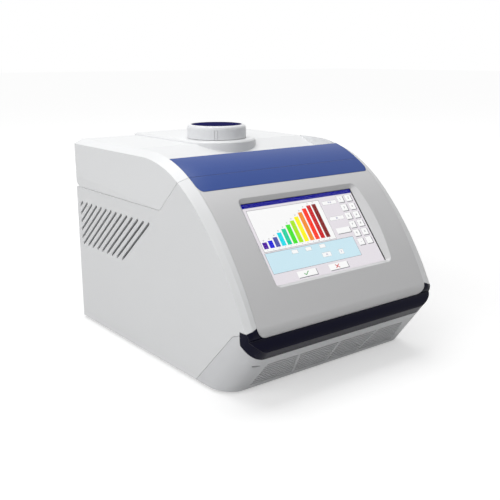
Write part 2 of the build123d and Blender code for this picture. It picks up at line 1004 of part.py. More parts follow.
chin_drop = chin_top_height - foot_height
chin_run = chin_foot_inset - chin_top_inset
chin_length = sqrt(chin_drop**2 + chin_run**2)
chin_plane = Plane(
    origin=(0, front_y + chin_top_inset, chin_top_height),
    x_dir=(1, 0, 0),
    z_dir=(0, -chin_drop / chin_length, -chin_run / chin_length),
)
down = -1 if chin_plane.y_dir.Z > 0 else 1

with BuildPart() as grille:
    with BuildSketch(chin_plane.offset(-chin_wall * 2)):
        for row in range(grille_rows):
            fall = grille_top + row * grille_pitch
            with Locations((0, down * fall)):
                Rectangle(2 * grille_half_foot, grille_slot)
        with BuildLine():
            Polyline(
                (-grille_half_top, 0),
                (-grille_half_foot, down * chin_length),
                (grille_half_foot, down * chin_length),
                (grille_half_top, 0),
                close=True,
            )
        make_face(mode=Mode.INTERSECT)
        for lean in (-1, 0, 1):
            with BuildLine():
                Polyline(
                    (lean * grille_rib_x - grille_rib / 2, 0),
                    (lean * (grille_rib_x - grille_rib_lean) - grille_rib / 2, down * chin_length),
                    (lean * (grille_rib_x - grille_rib_lean) + grille_rib / 2, down * chin_length),
                    (lean * grille_rib_x + grille_rib / 2, 0),
                    close=True,
                )
            make_face(mode=Mode.SUBTRACT)
        with Locations((-slit_x, down * slit_fall), (slit_x, down * slit_fall)):
            SlotOverall(slit_length, slit_width)
    extrude(amount=chin_wall * 4)

with BuildPart() as chin_cover:
    add(outer_form)
    add(chin_form, mode=Mode.SUBTRACT)
    add(across(chin_zone()), mode=Mode.INTERSECT)
    add(forwards(bumper_zone(seam)), mode=Mode.SUBTRACT)
    add(forwards(panel_zone(seam)), mode=Mode.SUBTRACT)
    add(grille.part, mode=Mode.SUBTRACT)
    with Locations(
        (foot_x, front_foot_y, foot_height + chin_wall / 2),
        (-foot_x, front_foot_y, foot_height + chin_wall / 2),
    ):
        Cylinder(foot_stem_radius, chin_wall * 2, mode=Mode.SUBTRACT)
chin_cover.part.label = "chin_cover"
export_step(chin_cover.part, "parts/chin_cover.step")

with BuildPart() as air_filter:
    with BuildSketch(chin_plane.offset(-chin_wall)):
        with Locations((0, down * (grille_top + grille_rows * grille_pitch / 2 - grille_pitch / 2))):
            Rectangle(2 * grille_half_foot, grille_rows * grille_pitch)
    extrude(amount=-filter_thickness)
    with BuildSketch(Plane.XY.offset(foot_height + chin_wall)):
        Rectangle(far, far)
    extrude(amount=far, mode=Mode.INTERSECT)
air_filter.part.label = "air_filter"
export_step(air_filter.part, "parts/air_filter.step")

# Floor tray of bent sheet, rear sheet and the deck under the lid
with BuildPart() as base_tray:
    with BuildSketch(Plane.XY.offset(foot_height)):
        with Locations((0, (tray_front_y + sheet_front_y) / 2)):
            Rectangle(2 * (inner_half - seam), sheet_front_y - tray_front_y - seam)
        with Locations((foot_x, rear_foot_y), (-foot_x, rear_foot_y)):
            Circle(foot_stem_radius, mode=Mode.SUBTRACT)
        with Locations((0, tray_vent_y)):
            with GridLocations(tray_vent_pitch, tray_vent_length + tray_vent_gap, tray_vents, 2):
                SlotOverall(tray_vent_length, vent_width, rotation=90, mode=Mode.SUBTRACT)
    extrude(amount=tray_thickness)
base_tray.part.label = "base_tray"
export_step(base_tray.part, "parts/base_tray.step")

with BuildPart() as deck:
    add(across(lid_zone(-deck_drop - deck_thickness), inner_half - seam))
    add(across(lid_zone(-deck_drop)), mode=Mode.SUBTRACT)
    add(case_form(wall + seam), mode=Mode.INTERSECT)
    add(
        skin_reach(parting_exit_setback - wall * 4, band_bottom_setback + wall * 4, half_width),
        mode=Mode.SUBTRACT,
    )
    with Locations((0, knob_y, deck_top)):
        Box(
            block_length + 2 * window_gap,
            block_width + 2 * window_gap,
            deck_thickness * 4,
            mode=Mode.SUBTRACT,
        )
    with BuildSketch(Plane.XY.offset(deck_shoulder)):
        Rectangle(body_width, body_depth)
        Rectangle(2 * (inner_half - ledge), body_depth, mode=Mode.SUBTRACT)
    extrude(amount=parting_rise, mode=Mode.SUBTRACT)
deck.part.label = "deck"
export_step(deck.part, "parts/deck.step")

with BuildPart() as block_gasket:
    with BuildSketch(Plane.XY.offset(deck_top - gasket_height)):
        with Locations((0, knob_y)):
            Rectangle(
                block_length + 2 * (window_gap - gasket_gap),
                block_width + 2 * (window_gap - gasket_gap),
            )
            Rectangle(block_length + gasket_gap, block_width + gasket_gap, mode=Mode.SUBTRACT)
    extrude(amount=gasket_height)
    with BuildSketch(Plane.XY.offset(deck_top)):
        with Locations((0, knob_y)):
            Rectangle(block_length + 4 * window_gap, block_width + 4 * window_gap)
            Rectangle(block_length + gasket_gap, block_width + gasket_gap, mode=Mode.SUBTRACT)
    extrude(amount=gasket_lip)
block_gasket.part.label = "block_gasket"
export_step(block_gasket.part, "parts/block_gasket.step")

# Sample block with its grid of tapered wells
with BuildPart() as sample_block:
    with BuildSketch(Plane.XY.offset(block_bottom)):
        with Locations((0, knob_y)):
            Rectangle(block_length, block_width)
    extrude(amount=block_height)
    with BuildSketch(Plane.XY.offset(block_bottom + block_step)):
        with Locations((0, knob_y)):
            Rectangle(block_length + 2 * overcut, block_width + 2 * overcut)
            Rectangle(
                block_length - 2 * block_step_width,
                block_width - 2 * block_step_width,
                mode=Mode.SUBTRACT,
            )
    extrude(amount=block_height - 2 * block_step, mode=Mode.SUBTRACT)
    with Locations((0, knob_y, block_top)):
        with GridLocations(well_pitch, well_pitch, well_columns, well_rows):
            Cone(
                well_foot_radius,
                well_top_radius,
                well_depth,
                align=(Align.CENTER, Align.CENTER, Align.MAX),
                mode=Mode.SUBTRACT,
            )
sample_block.part.label = "sample_block"
export_step(sample_block.part, "parts/sample_block.step")

with BuildPart() as cooler_modules:
    with BuildSketch(Plane.XY.offset(sink_top)):
        with Locations((0, knob_y)):
            with GridLocations(
                cooler_size + cooler_gap, cooler_size + cooler_gap, cooler_columns, cooler_rows
            ):
                Rectangle(cooler_size, cooler_size)
    extrude(amount=cooler_thickness)
cooler_modules.part.label = "cooler_modules"
export_step(cooler_modules.part, "parts/cooler_modules.step")

with BuildPart() as heat_sink:
    with BuildSketch(Plane.XY.offset(sink_top - sink_base)):
        with Locations((0, knob_y)):
            Rectangle(sink_length, sink_width)
    extrude(amount=sink_base)
    with BuildSketch(Plane.XY.offset(sink_top - sink_base)):
        with Locations((0, knob_y)):
            with GridLocations(
                (sink_length - fin_thickness) / (fin_count - 1), sink_width, fin_count, 1
            ):
                Rectangle(fin_thickness, sink_width)
    extrude(amount=-fin_height)
heat_sink.part.label = "heat_sink"
export_step(heat_sink.part, "parts/heat_sink.step")

with BuildPart() as sink_brackets:
    bracket_top = sink_top - bracket_drop
    for side in (-1, 1):
        with Locations(
            (side * (sink_length / 2 + bracket_sheet / 2), knob_y, foot_height + tray_thickness)
        ):
            Box(
                bracket_sheet,
                sink_width * bracket_share,
                bracket_top - foot_height - tray_thickness,
                align=(Align.CENTER, Align.CENTER, Align.MIN),
            )
        with Locations(
            (side * (sink_length / 2 + bracket_flange / 2), knob_y, foot_height + tray_thickness)
        ):
            Box(
                bracket_flange,
                sink_width * bracket_share,
                bracket_sheet,
                align=(Align.CENTER, Align.CENTER, Align.MIN),
            )
sink_brackets.part.label = "sink_brackets"
export_step(sink_brackets.part, "parts/sink_brackets.step")

# Rear sheet with the fan guard and the cut-outs for the ports
with BuildPart() as rear_panel:
    with BuildSketch(Plane.XZ.offset(-sheet_rear_y)):
        with Locations((0, (foot_height + seam + rear_opening_top + ledge) / 2)):
            Rectangle(2 * (inner_half - 2 * seam), rear_opening_top + ledge - foot_height - seam)
        with Locations((fan_x, fan_height)):
            for ring in reversed(range(guard_rings)):
                slot_radius = guard_first + ring * guard_pitch
                Circle(slot_radius + guard_slot, mode=Mode.SUBTRACT)
                Circle(slot_radius)
            Rectangle(2 * fan_bore_radius, guard_rib, rotation=45)
            Rectangle(guard_rib, 2 * fan_bore_radius, rotation=45)
            with GridLocations(fan_hole_spacing, fan_hole_spacing, 2, 2):
                Circle(fan_screw_hole, mode=Mode.SUBTRACT)
        with Locations((entry_x, inlet_height)):
            Rectangle(entry_width + seam, entry_tall + seam, mode=Mode.SUBTRACT)
        with Locations((switch_x, inlet_height)):
            Rectangle(switch_width + seam, switch_tall + seam, mode=Mode.SUBTRACT)
        with Locations((usb_x, usb_height)):
            with GridLocations(usb_width, usb_pitch, 1, 2):
                Rectangle(usb_width + seam, usb_tall + seam, mode=Mode.SUBTRACT)
    extrude(amount=rear_sheet)
rear_panel.part.label = "rear_panel"
export_step(rear_panel.part, "parts/rear_panel.step")

# Power entry: flanged body with the inlet cavity and the chamber of the fuse drawer
entry_face_y = sheet_rear_y + inlet_flange_thickness
with BuildPart() as power_entry:
    with BuildSketch(Plane.XZ.offset(-sheet_rear_y)):
        with Locations((entry_x, inlet_height)):
            Rectangle(entry_width, entry_tall)
    extrude(amount=inlet_depth)
    with BuildSketch(Plane.XZ.offset(-entry_face_y)):
        with Locations((entry_x, inlet_height)):
            RectangleRounded(
                entry_width + inlet_flange, entry_tall + inlet_flange, inlet_flange / 2
            )
    extrude(amount=inlet_flange_thickness)
    with BuildSketch(Plane.XZ.offset(-entry_face_y)):
        with Locations((inlet_x, inlet_height)):
            socket = Rectangle(socket_width, socket_tall)
        chamfer(vertices().group_by(Axis.Y)[-1], socket_chamfer)
    extrude(amount=socket_depth, mode=Mode.SUBTRACT)
    with BuildSketch(Plane.XZ.offset(-entry_face_y)):
        with Locations((drawer_x, inlet_height)):
            Rectangle(drawer_width + 2 * drawer_clearance, drawer_tall + 2 * drawer_clearance)
    extrude(amount=drawer_length + seam, mode=Mode.SUBTRACT)
power_entry.part.label = "power_entry"
export_step(power_entry.part, "parts/power_entry.step")

with BuildPart() as inlet_pins:
    with BuildSketch(Plane.XZ.offset(-entry_face_y + socket_depth)):
        with Locations(
            (inlet_x - pin_spacing, inlet_height - pin_drop),
            (inlet_x, inlet_height + pin_drop),
            (inlet_x + pin_spacing, inlet_height - pin_drop),
        ):
            Rectangle(pin_blade, pin_blade_tall)
    extrude(amount=-pin_blade_length)
inlet_pins.part.label = "inlet_pins"
export_step(inlet_pins.part, "parts/inlet_pins.step")

with BuildPart() as fuse_drawer:
    with BuildSketch(Plane.XZ.offset(-entry_face_y)):
        with Locations((drawer_x, inlet_height)):
            Rectangle(drawer_width, drawer_tall)
    extrude(amount=drawer_length)
    with BuildSketch(Plane.XY.offset(inlet_height - drawer_tall / 2 + drawer_wall)):
        with Locations((drawer_x, entry_face_y - drawer_length / 2)):
            Rectangle(drawer_width - 2 * drawer_wall, drawer_length - 2 * drawer_wall)
    extrude(amount=drawer_tall, mode=Mode.SUBTRACT)
    with BuildSketch(Plane.XZ.offset(-entry_face_y - drawer_face)):
        with Locations((drawer_x, inlet_height)):
            Rectangle(drawer_width + inlet_flange_thickness, drawer_tall + inlet_flange_thickness)
        with Locations((drawer_x, inlet_height + drawer_tall / 2 + drawer_notch / 2)):
            Circle(drawer_notch, mode=Mode.SUBTRACT)
    extrude(amount=drawer_face)
fuse_drawer.part.label = "fuse_drawer"
export_step(fuse_drawer.part, "parts/fuse_drawer.step")

# Rocker switch: body with a pocket and the rocker, modelled pressed to one side
rocker_y = entry_face_y - rocker_rise - rocker_sink


def rocker_corners(throw):
    """Side view of the rocker, turned about its axle by its throw."""
    rise = rocker_rise + rocker_reach * tan(radians(throw))
    turn = radians(throw)
    corners = []
    for out, up in (
        (rocker_rise, 0),
        (rise, rocker_reach),
        (-rocker_back, rocker_reach),
        (-rocker_back, -rocker_reach),
        (rise, -rocker_reach),
    ):
        corners.append(
            (
                rocker_y + out * cos(turn) - up * sin(turn),
                inlet_height + out * sin(turn) + up * cos(turn),
            )
        )
    return corners


with BuildPart() as switch_body:
    with BuildSketch(Plane.XZ.offset(-sheet_rear_y)):
        with Locations((switch_x, inlet_height)):
            Rectangle(switch_width, switch_tall)
    extrude(amount=switch_depth)
    with BuildSketch(Plane.XZ.offset(-entry_face_y)):
        with Locations((switch_x, inlet_height)):
            RectangleRounded(
                switch_width + 2 * switch_flange, switch_tall + 2 * switch_flange, switch_flange
            )
    extrude(amount=inlet_flange_thickness)
    with BuildSketch(Plane.XZ.offset(-entry_face_y)):
        with Locations((switch_x, inlet_height)):
            Rectangle(rocker_width + 2 * rocker_gap, 2 * (rocker_reach + rocker_gap / 2))
    extrude(amount=rocker_rise + rocker_sink + rocker_reach / 2, mode=Mode.SUBTRACT)
    with BuildSketch(Plane.YZ.offset(switch_x - rocker_axle / 2)):
        with Locations((rocker_y, inlet_height)):
            Circle(rocker_axle_radius + pin_clearance)
    extrude(amount=rocker_axle, mode=Mode.SUBTRACT)
switch_body.part.label = "switch_body"
export_step(switch_body.part, "parts/switch_body.step")

with BuildPart() as rocker_switch:
    with BuildSketch(Plane.YZ.offset(switch_x - rocker_width / 2)):
        with BuildLine():
            Polyline(*rocker_corners(rocker_throw), close=True)
        make_face()
        with Locations((rocker_y, inlet_height)):
            Circle(rocker_reach, mode=Mode.INTERSECT)
    extrude(amount=rocker_width)
    with BuildSketch(Plane.YZ.offset(switch_x - rocker_axle / 2 + seam / 2)):
        with Locations((rocker_y, inlet_height)):
            Circle(rocker_axle_radius)
    extrude(amount=rocker_axle - seam)
rocker_switch.part.label = "rocker_switch"
export_step(rocker_switch.part, "parts/rocker_switch.step")

with BuildPart() as usb_sockets:
    with BuildSketch(Plane.XZ.offset(-sheet_rear_y)):
        with Locations((usb_x, usb_height)):
            with GridLocations(usb_width, usb_pitch, 1, 2):
                Rectangle(usb_width, usb_tall)
    extrude(amount=usb_depth)
    with BuildSketch(Plane.XZ.offset(-sheet_rear_y)):
        with Locations((usb_x, usb_height)):
            with GridLocations(usb_width, usb_pitch, 1, 2):
                Rectangle(usb_width - 2 * usb_shell, usb_tall - 2 * usb_shell)
        with Locations((usb_x, usb_height + usb_shell)):
            with GridLocations(usb_width, usb_pitch, 1, 2):
                Rectangle(usb_width - 4 * usb_shell, usb_tongue, mode=Mode.SUBTRACT)
    extrude(amount=usb_depth - usb_tongue, mode=Mode.SUBTRACT)
usb_sockets.part.label = "usb_sockets"
export_step(usb_sockets.part, "parts/usb_sockets.step")

# Fan: square frame with three arms to its stator, rotor with pitched blades
fan_front_y = sheet_front_y - fan_depth
with BuildPart() as fan_frame:
    with BuildSketch(Plane.XZ.offset(-sheet_front_y)):
        with Locations((fan_x, fan_height)):
            RectangleRounded(fan_size, fan_size, fan_corner)
            Circle(fan_bore_radius, mode=Mode.SUBTRACT)
            with GridLocations(fan_hole_spacing, fan_hole_spacing, 2, 2):
                Circle(fan_screw_hole, mode=Mode.SUBTRACT)
    extrude(amount=fan_depth)
    with BuildSketch(Plane.XZ.offset(-sheet_front_y)):
        with Locations((fan_x, fan_height)):
            Circle(fan_hub_radius)
            with PolarLocations(fan_bore_radius / 2, fan_arms):
                Rectangle(fan_bore_radius + overcut, fan_arm)
            Circle(fan_shaft_radius + pin_clearance, mode=Mode.SUBTRACT)
    extrude(amount=fan_stator)
fan_frame.part.label = "fan_frame"
export_step(fan_frame.part, "parts/fan_frame.step")

with BuildPart() as fan_rotor:
    with BuildSketch(Plane.XZ.offset(-sheet_front_y + fan_stator + fan_rotor_gap)):
        with Locations((fan_x, fan_height)):
            Circle(fan_hub_radius)
    extrude(amount=fan_hub_length)
    fillet(fan_rotor.edges().group_by(Axis.Y)[0], fan_rotor_gap * 4)
    with BuildSketch(Plane.XZ.offset(-sheet_front_y + seam)):
        with Locations((fan_x, fan_height)):
            Circle(fan_shaft_radius)
    extrude(amount=fan_stator * 2)
    blade_from = fan_hub_radius - overcut
    blade_to = fan_bore_radius - fan_blade_gap
    for index in range(fan_blades):
        turn = radians(360 / fan_blades * index)
        outwards = Vector(cos(turn), 0, sin(turn))
        sideways = Vector(-sin(turn), 0, cos(turn))
        pitch = radians(fan_blade_pitch)
        centre = Vector(
            fan_x, sheet_front_y - fan_stator - fan_rotor_gap - fan_hub_length / 2, fan_height
        )
        blade = Plane(
            origin=centre + outwards * (blade_from + blade_to) / 2,
            x_dir=outwards,
            z_dir=sideways * cos(pitch) + Vector(0, 1, 0) * sin(pitch),
        )
        with BuildSketch(blade):
            Rectangle(blade_to - blade_from, fan_blade_chord)
        extrude(amount=fan_blade_thickness / 2, both=True)
fan_rotor.part.label = "fan_rotor"
export_step(fan_rotor.part, "parts/fan_rotor.step")

# Duct from the fins to the fan
sink_rear_y = knob_y + sink_width / 2
duct_height = sink_top - (sink_base + fin_height) / 2
with BuildPart() as air_duct:
    for less, cut in ((0, Mode.ADD), (duct_wall, Mode.SUBTRACT)):
        with BuildSketch(Plane.XZ.offset(-sink_rear_y)):
            with Locations((0, duct_height)):
                Rectangle(sink_length - 2 * less, sink_base + fin_height - 2 * less)
        with BuildSketch(Plane.XZ.offset(-fan_front_y)):
            with Locations((fan_x, fan_height)):
                Rectangle(fan_size - 2 * less, fan_size - 2 * less)
        loft(mode=cut)
air_duct.part.label = "air_duct"
export_step(air_duct.part, "parts/air_duct.step")

# Power supply cage and control board
tray_top = foot_height + tray_thickness
with BuildPart() as power_supply:
    with Locations((0, knob_y, tray_top)):
        Box(
            supply_length,
            supply_width,
            supply_height,
            align=(Align.CENTER, Align.CENTER, Align.MIN),
        )
    with Locations((0, knob_y, tray_top + supply_sheet)):
        Box(
            supply_length - 2 * supply_sheet,
            supply_width - 2 * supply_sheet,
            supply_height - 2 * supply_sheet,
            align=(Align.CENTER, Align.CENTER, Align.MIN),
            mode=Mode.SUBTRACT,
        )
    with BuildSketch(Plane.XY.offset(tray_top + supply_height - 2 * supply_sheet)):
        with Locations((0, knob_y)):
            with GridLocations(
                supply_slot_pitch, supply_slot_length + vent_width * 2, supply_slots, 2
            ):
                SlotOverall(supply_slot_length, vent_width, rotation=90)
    extrude(amount=supply_sheet * 3, mode=Mode.SUBTRACT)
power_supply.part.label = "power_supply"
export_step(power_supply.part, "parts/power_supply.step")

board_height = tray_top + standoff_height
with BuildPart() as control_board:
    with BuildSketch(Plane.XY.offset(board_height)):
        with Locations((0, board_y)):
            Rectangle(board_length, board_width)
    extrude(amount=board_thickness)
    with BuildSketch(Plane.XY.offset(board_height + board_thickness)):
        with Locations((0, board_y)):
            with GridLocations(chip_size * 2, chip_size, chips, 1):
                Rectangle(chip_size, chip_size)
    extrude(amount=chip_height)
    with BuildSketch(Plane.XY.offset(board_height + board_thickness)):
        with Locations((0, board_y + board_width / 2 - header_width)):
            with GridLocations(header_length + header_spacing, header_width, headers, 1):
                Rectangle(header_length, header_width)
    extrude(amount=header_height)
control_board.part.label = "control_board"
export_step(control_board.part, "parts/control_board.step")

with BuildPart() as board_standoffs:
    with BuildSketch(Plane.XY.offset(tray_top)):
        with Locations((0, board_y)):
            with GridLocations(
                board_length - 4 * standoff_radius, board_width - 4 * standoff_radius, 2, 2
            ):
                Circle(standoff_radius)
    extrude(amount=standoff_height)
board_standoffs.part.label = "board_standoffs"
export_step(board_standoffs.part, "parts/board_standoffs.step")

# Hinges: knuckles on the deck, ears on the rear wall of the lid, pins through both
with BuildPart() as hinge_base_brackets:
    for side in (-1, 1):
        with BuildSketch(Plane.YZ.offset(side * hinge_spacing / 2 - knuckle_width / 2)):
            with Locations((hinge_y, hinge_height)):
                Circle(knuckle_radius)
            with Locations((hinge_y - knuckle_radius / 2, (hinge_height + deck_top) / 2)):
                Rectangle(knuckle_radius, hinge_height - deck_top)
            with Locations((hinge_y - hinge_foot / 2, deck_top + hinge_sheet / 2)):
                Rectangle(hinge_foot, hinge_sheet)
            with Locations((hinge_y, hinge_height)):
                Circle(pin_radius + press_gap, mode=Mode.SUBTRACT)
        extrude(amount=knuckle_width)
hinge_base_brackets.part.label = "hinge_base_brackets"
export_step(hinge_base_brackets.part, "parts/hinge_base_brackets.step")

ear_outer = knuckle_width / 2 + ear_gap + ear_thickness
with BuildPart() as hinge_pins:
    for side in (-1, 1):
        with BuildSketch(Plane.YZ.offset(side * hinge_spacing / 2 - ear_outer)):
            with Locations((hinge_y, hinge_height)):
                Circle(pin_radius)
        extrude(amount=2 * ear_outer)
hinge_pins.part.label = "hinge_pins"
export_step(hinge_pins.part, "parts/hinge_pins.step")

ear_radius = hinge_radius - wall - seam / 2
ear_wall_y = rear_y - wall
with BuildPart() as hinge_lid_brackets:
    for side in (-1, 1):
        middle = side * hinge_spacing / 2
        for inner in (middle - ear_outer, middle + ear_outer - ear_thickness):
            with BuildSketch(Plane.YZ.offset(inner)):
                with Locations((hinge_y, hinge_height)):
                    Circle(ear_radius)
                with BuildLine():
                    Polyline(
                        (hinge_y - ear_radius, hinge_height),
                        (hinge_y + ear_radius, hinge_height),
                        (ear_wall_y, hinge_height + ear_rise),
                        (ear_wall_y, hinge_height + ear_top),
                        (ear_wall_y - hinge_sheet, hinge_height + ear_top),
                        close=True,
                    )
                make_face()
                with Locations((hinge_y, hinge_height)):
                    Circle(pin_radius + pin_clearance, mode=Mode.SUBTRACT)
            extrude(amount=ear_thickness)
        with BuildSketch(Plane.XZ.offset(-ear_wall_y)):
            with Locations((middle, hinge_height + (ear_rise + ear_top) / 2)):
                Rectangle(2 * ear_outer, ear_top - ear_rise)
        extrude(amount=hinge_sheet)
hinge_lid_brackets.part.label = "hinge_lid_brackets"
export_step(hinge_lid_brackets.part, "parts/hinge_lid_brackets.step")

# Inside the lid: liner, beam, bush, spindle and guide posts
with BuildPart() as lid_liner:
    with BuildSketch(Plane.XY.offset(liner_height)):
        with Locations((0, (liner_front_y + liner_rear_y) / 2)):
            Rectangle(2 * (inner_half - seam), liner_rear_y - liner_front_y)
        with Locations((0, knob_y)):
            Rectangle(
                heated_plate_length + 4 * carrier_margin,
                heated_plate_width + 4 * carrier_margin,
                mode=Mode.SUBTRACT,
            )
        with Locations((0, magnet_y)):
            with GridLocations(magnet_spacing, magnet_radius, 2, 1):
                Circle(magnet_radius + press_gap, mode=Mode.SUBTRACT)
    extrude(amount=liner_thickness)
lid_liner.part.label = "lid_liner"
export_step(lid_liner.part, "parts/lid_liner.step")

with BuildPart() as catch_magnets:
    with BuildSketch(Plane.XY.offset(liner_height)):
        with Locations((0, magnet_y)):
            with GridLocations(magnet_spacing, magnet_radius, 2, 1):
                Circle(magnet_radius)
    extrude(amount=magnet_height)
catch_magnets.part.label = "catch_magnets"
export_step(catch_magnets.part, "parts/catch_magnets.step")

with BuildPart() as catch_plates:
    with BuildSketch(Plane.XY.offset(deck_top)):
        with Locations((0, magnet_y)):
            with GridLocations(magnet_spacing, catch_radius, 2, 1):
                Circle(catch_radius)
    extrude(amount=liner_height - deck_top - seam)
catch_plates.part.label = "catch_plates"
export_step(catch_plates.part, "parts/catch_plates.step")

with BuildPart() as cross_beam:
    with BuildSketch(Plane.XY.offset(beam_height)):
        with Locations((0, knob_y)):
            Rectangle(beam_length, beam_width)
            Circle(bush_radius + press_gap, mode=Mode.SUBTRACT)
            with GridLocations(post_spacing, beam_width, 2, 1):
                Circle(post_radius + press_gap, mode=Mode.SUBTRACT)
    extrude(amount=beam_thickness)
cross_beam.part.label = "cross_beam"
export_step(cross_beam.part, "parts/cross_beam.step")

with BuildPart() as spindle_bush:
    with BuildSketch(Plane.XY.offset(beam_height - bush_flange)):
        with Locations((0, knob_y)):
            Circle(bush_flange_radius)
    extrude(amount=bush_flange)
    with BuildSketch(Plane.XY.offset(beam_height)):
        with Locations((0, knob_y)):
            Circle(bush_radius)
    extrude(amount=platform_top - beam_height)
    with Locations((0, knob_y, beam_height)):
        Cylinder(spindle_radius + spindle_clearance, far / 4, mode=Mode.SUBTRACT)
spindle_bush.part.label = "spindle_bush"
export_step(spindle_bush.part, "parts/spindle_bush.step")

knob_bottom = platform_top + knob_gap
knob_top = knob_bottom + knob_height
spindle_top = knob_top - knob_cap_thickness - knob_wall
carrier_bottom = heated_plate_height + heated_plate_thickness + heater_thickness
carrier_top = carrier_bottom + carrier_thickness
with BuildPart() as spindle:
    with BuildSketch(Plane.XY.offset(carrier_bottom + seam + plate_travel)):
        with Locations((0, knob_y)):
            Circle(spindle_radius)
    extrude(amount=spindle_top - carrier_bottom - seam - plate_travel)
    with BuildSketch(Plane.XY.offset(beam_height - bush_flange - seam)):
        with Locations((0, knob_y)):
            Circle(bush_radius)
    extrude(amount=-collar_thickness)
spindle.part.label = "spindle"
export_step(spindle.part, "parts/spindle.step")

with BuildPart() as guide_posts:
    with BuildSketch(Plane.XY.offset(carrier_bottom + seam)):
        with Locations((0, knob_y)):
            with GridLocations(post_spacing, beam_width, 2, 1):
                Circle(post_radius)
    extrude(amount=beam_height + beam_thickness - carrier_bottom - seam)
guide_posts.part.label = "guide_posts"
export_step(guide_posts.part, "parts/guide_posts.step")

# Heated plate that is lowered onto the tubes
with BuildPart() as heated_plate:
    with BuildSketch(Plane.XY.offset(heated_plate_height)):
        with Locations((0, knob_y)):
            RectangleRounded(heated_plate_length, heated_plate_width, carrier_margin)
    extrude(amount=heated_plate_thickness)
    chamfer(heated_plate.edges().group_by(Axis.Z)[0], heated_plate_bevel)
heated_plate.part.label = "heated_plate"
export_step(heated_plate.part, "parts/heated_plate.step")

with BuildPart() as heater_pad:
    with BuildSketch(Plane.XY.offset(heated_plate_height + heated_plate_thickness)):
        with Locations((0, knob_y)):
            RectangleRounded(
                heated_plate_length - 2 * carrier_margin,
                heated_plate_width - 2 * carrier_margin,
                carrier_margin,
            )
    extrude(amount=heater_thickness)
heater_pad.part.label = "heater_pad"
export_step(heater_pad.part, "parts/heater_pad.step")

with BuildPart() as plate_carrier:
    with BuildSketch(Plane.XY.offset(carrier_bottom)):
        with Locations((0, knob_y)):
            RectangleRounded(
                heated_plate_length + 2 * carrier_margin,
                heated_plate_width + 2 * carrier_margin,
                carrier_margin * 2,
            )
    extrude(amount=carrier_thickness)
    with BuildSketch(Plane.XY.offset(carrier_top)):
        with Locations((0, knob_y)):
            with GridLocations(post_spacing, beam_width, 2, 1):
                Circle(post_boss_radius)
    extrude(amount=post_boss_height)
    with BuildSketch(Plane.XY.offset(carrier_bottom)):
        with Locations((0, knob_y)):
            Circle(spindle_radius + spindle_passage)
            with GridLocations(post_spacing, beam_width, 2, 1):
                Circle(post_radius + spindle_clearance)
    extrude(amount=far / 4, mode=Mode.SUBTRACT)
plate_carrier.part.label = "plate_carrier"
export_step(plate_carrier.part, "parts/plate_carrier.step")

with BuildPart() as lead_nut:
    with BuildSketch(Plane.XY.offset(carrier_top)):
        with Locations((0, knob_y)):
            Circle(nut_radius)
            Circle(spindle_radius + spindle_clearance, mode=Mode.SUBTRACT)
    extrude(amount=nut_height)
lead_nut.part.label = "lead_nut"
export_step(lead_nut.part, "parts/lead_nut.step")

# Knob, hollow from below, with a marker on its side and a flush cap
with BuildPart() as knob:
    with BuildSketch(Plane.XY.offset(knob_bottom)):
        with Locations((0, knob_y)):
            Circle(knob_radius)
    extrude(amount=knob_height)
    fillet(knob.edges().group_by(Axis.Z)[-1], knob_edge_radius)
    bearing = radians(marker_bearing)
    with BuildSketch(Plane.XY.offset(knob_bottom)):
        for shift in (-marker_spacing / 2, marker_spacing / 2):
            with Locations(
                Location(
                    (
                        knob_radius * cos(bearing) - shift * sin(bearing),
                        knob_y + knob_radius * sin(bearing) + shift * cos(bearing),
                    ),
                    marker_bearing,
                )
            ):
                Rectangle(2 * marker_height, marker_width)
    extrude(amount=knob_height - knob_edge_radius)
    with BuildSketch(Plane.XY.offset(knob_bottom)):
        with Locations((0, knob_y)):
            Circle(knob_radius - knob_wall)
            Circle(knob_hub_radius, mode=Mode.SUBTRACT)
    extrude(amount=knob_height - knob_cap_thickness - knob_wall, mode=Mode.SUBTRACT)
    with Locations((0, knob_y, spindle_top)):
        Cylinder(
            spindle_radius + press_gap,
            far / 4,
            align=(Align.CENTER, Align.CENTER, Align.MAX),
            mode=Mode.SUBTRACT,
        )
    with BuildSketch(Plane.XY.offset(knob_top - knob_cap_thickness)):
        with Locations((0, knob_y)):
            Circle(knob_cap_radius + press_gap)
    extrude(amount=knob_cap_thickness, mode=Mode.SUBTRACT)
knob.part.label = "knob"
export_step(knob.part, "parts/knob.step")

with BuildPart() as knob_cap:
    with BuildSketch(Plane.XY.offset(knob_top - knob_cap_thickness)):
        with Locations((0, knob_y)):
            Circle(knob_cap_radius)
    extrude(amount=knob_cap_thickness)
knob_cap.part.label = "knob_cap"
export_step(knob_cap.part, "parts/knob_cap.step")

# Screws of the rear sheet and rubber feet
with BuildPart() as rear_screws:
    with BuildSketch(Plane.XZ.offset(-sheet_rear_y - screw_head)):
        with Locations((0, (foot_height + rear_opening_top) / 2)):
            with GridLocations(
                inner_half - ledge * 2, rear_opening_top - foot_height - ledge * 3, 3, 2
            ):
                Circle(screw_radius)
        with Locations((fan_x, fan_height)):
            with GridLocations(fan_hole_spacing, fan_hole_spacing, 2, 2):
                Circle(screw_radius)
    extrude(amount=screw_head)
rear_screws.part.label = "rear_screws"
export_step(rear_screws.part, "parts/rear_screws.step")

with BuildPart() as rubber_feet:
    for foot_y in (front_foot_y, rear_foot_y):
        with BuildSketch():
            with Locations((foot_x, foot_y), (-foot_x, foot_y)):
                Circle(foot_radius)
        extrude(amount=foot_height)
        with BuildSketch(Plane.XY.offset(foot_height)):
            with Locations((foot_x, foot_y), (-foot_x, foot_y)):
                Circle(foot_stem_radius - press_gap)
        extrude(amount=tray_thickness + foot_stem_rise)
rubber_feet.part.label = "rubber_feet"
export_step(rubber_feet.part, "parts/rubber_feet.step")
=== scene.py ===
"""Looks of a bench thermal cycler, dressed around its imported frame.

Every length is in metres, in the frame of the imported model: X to the right seen from
the front, the front towards -Y, Z up, the origin on the bench.
"""

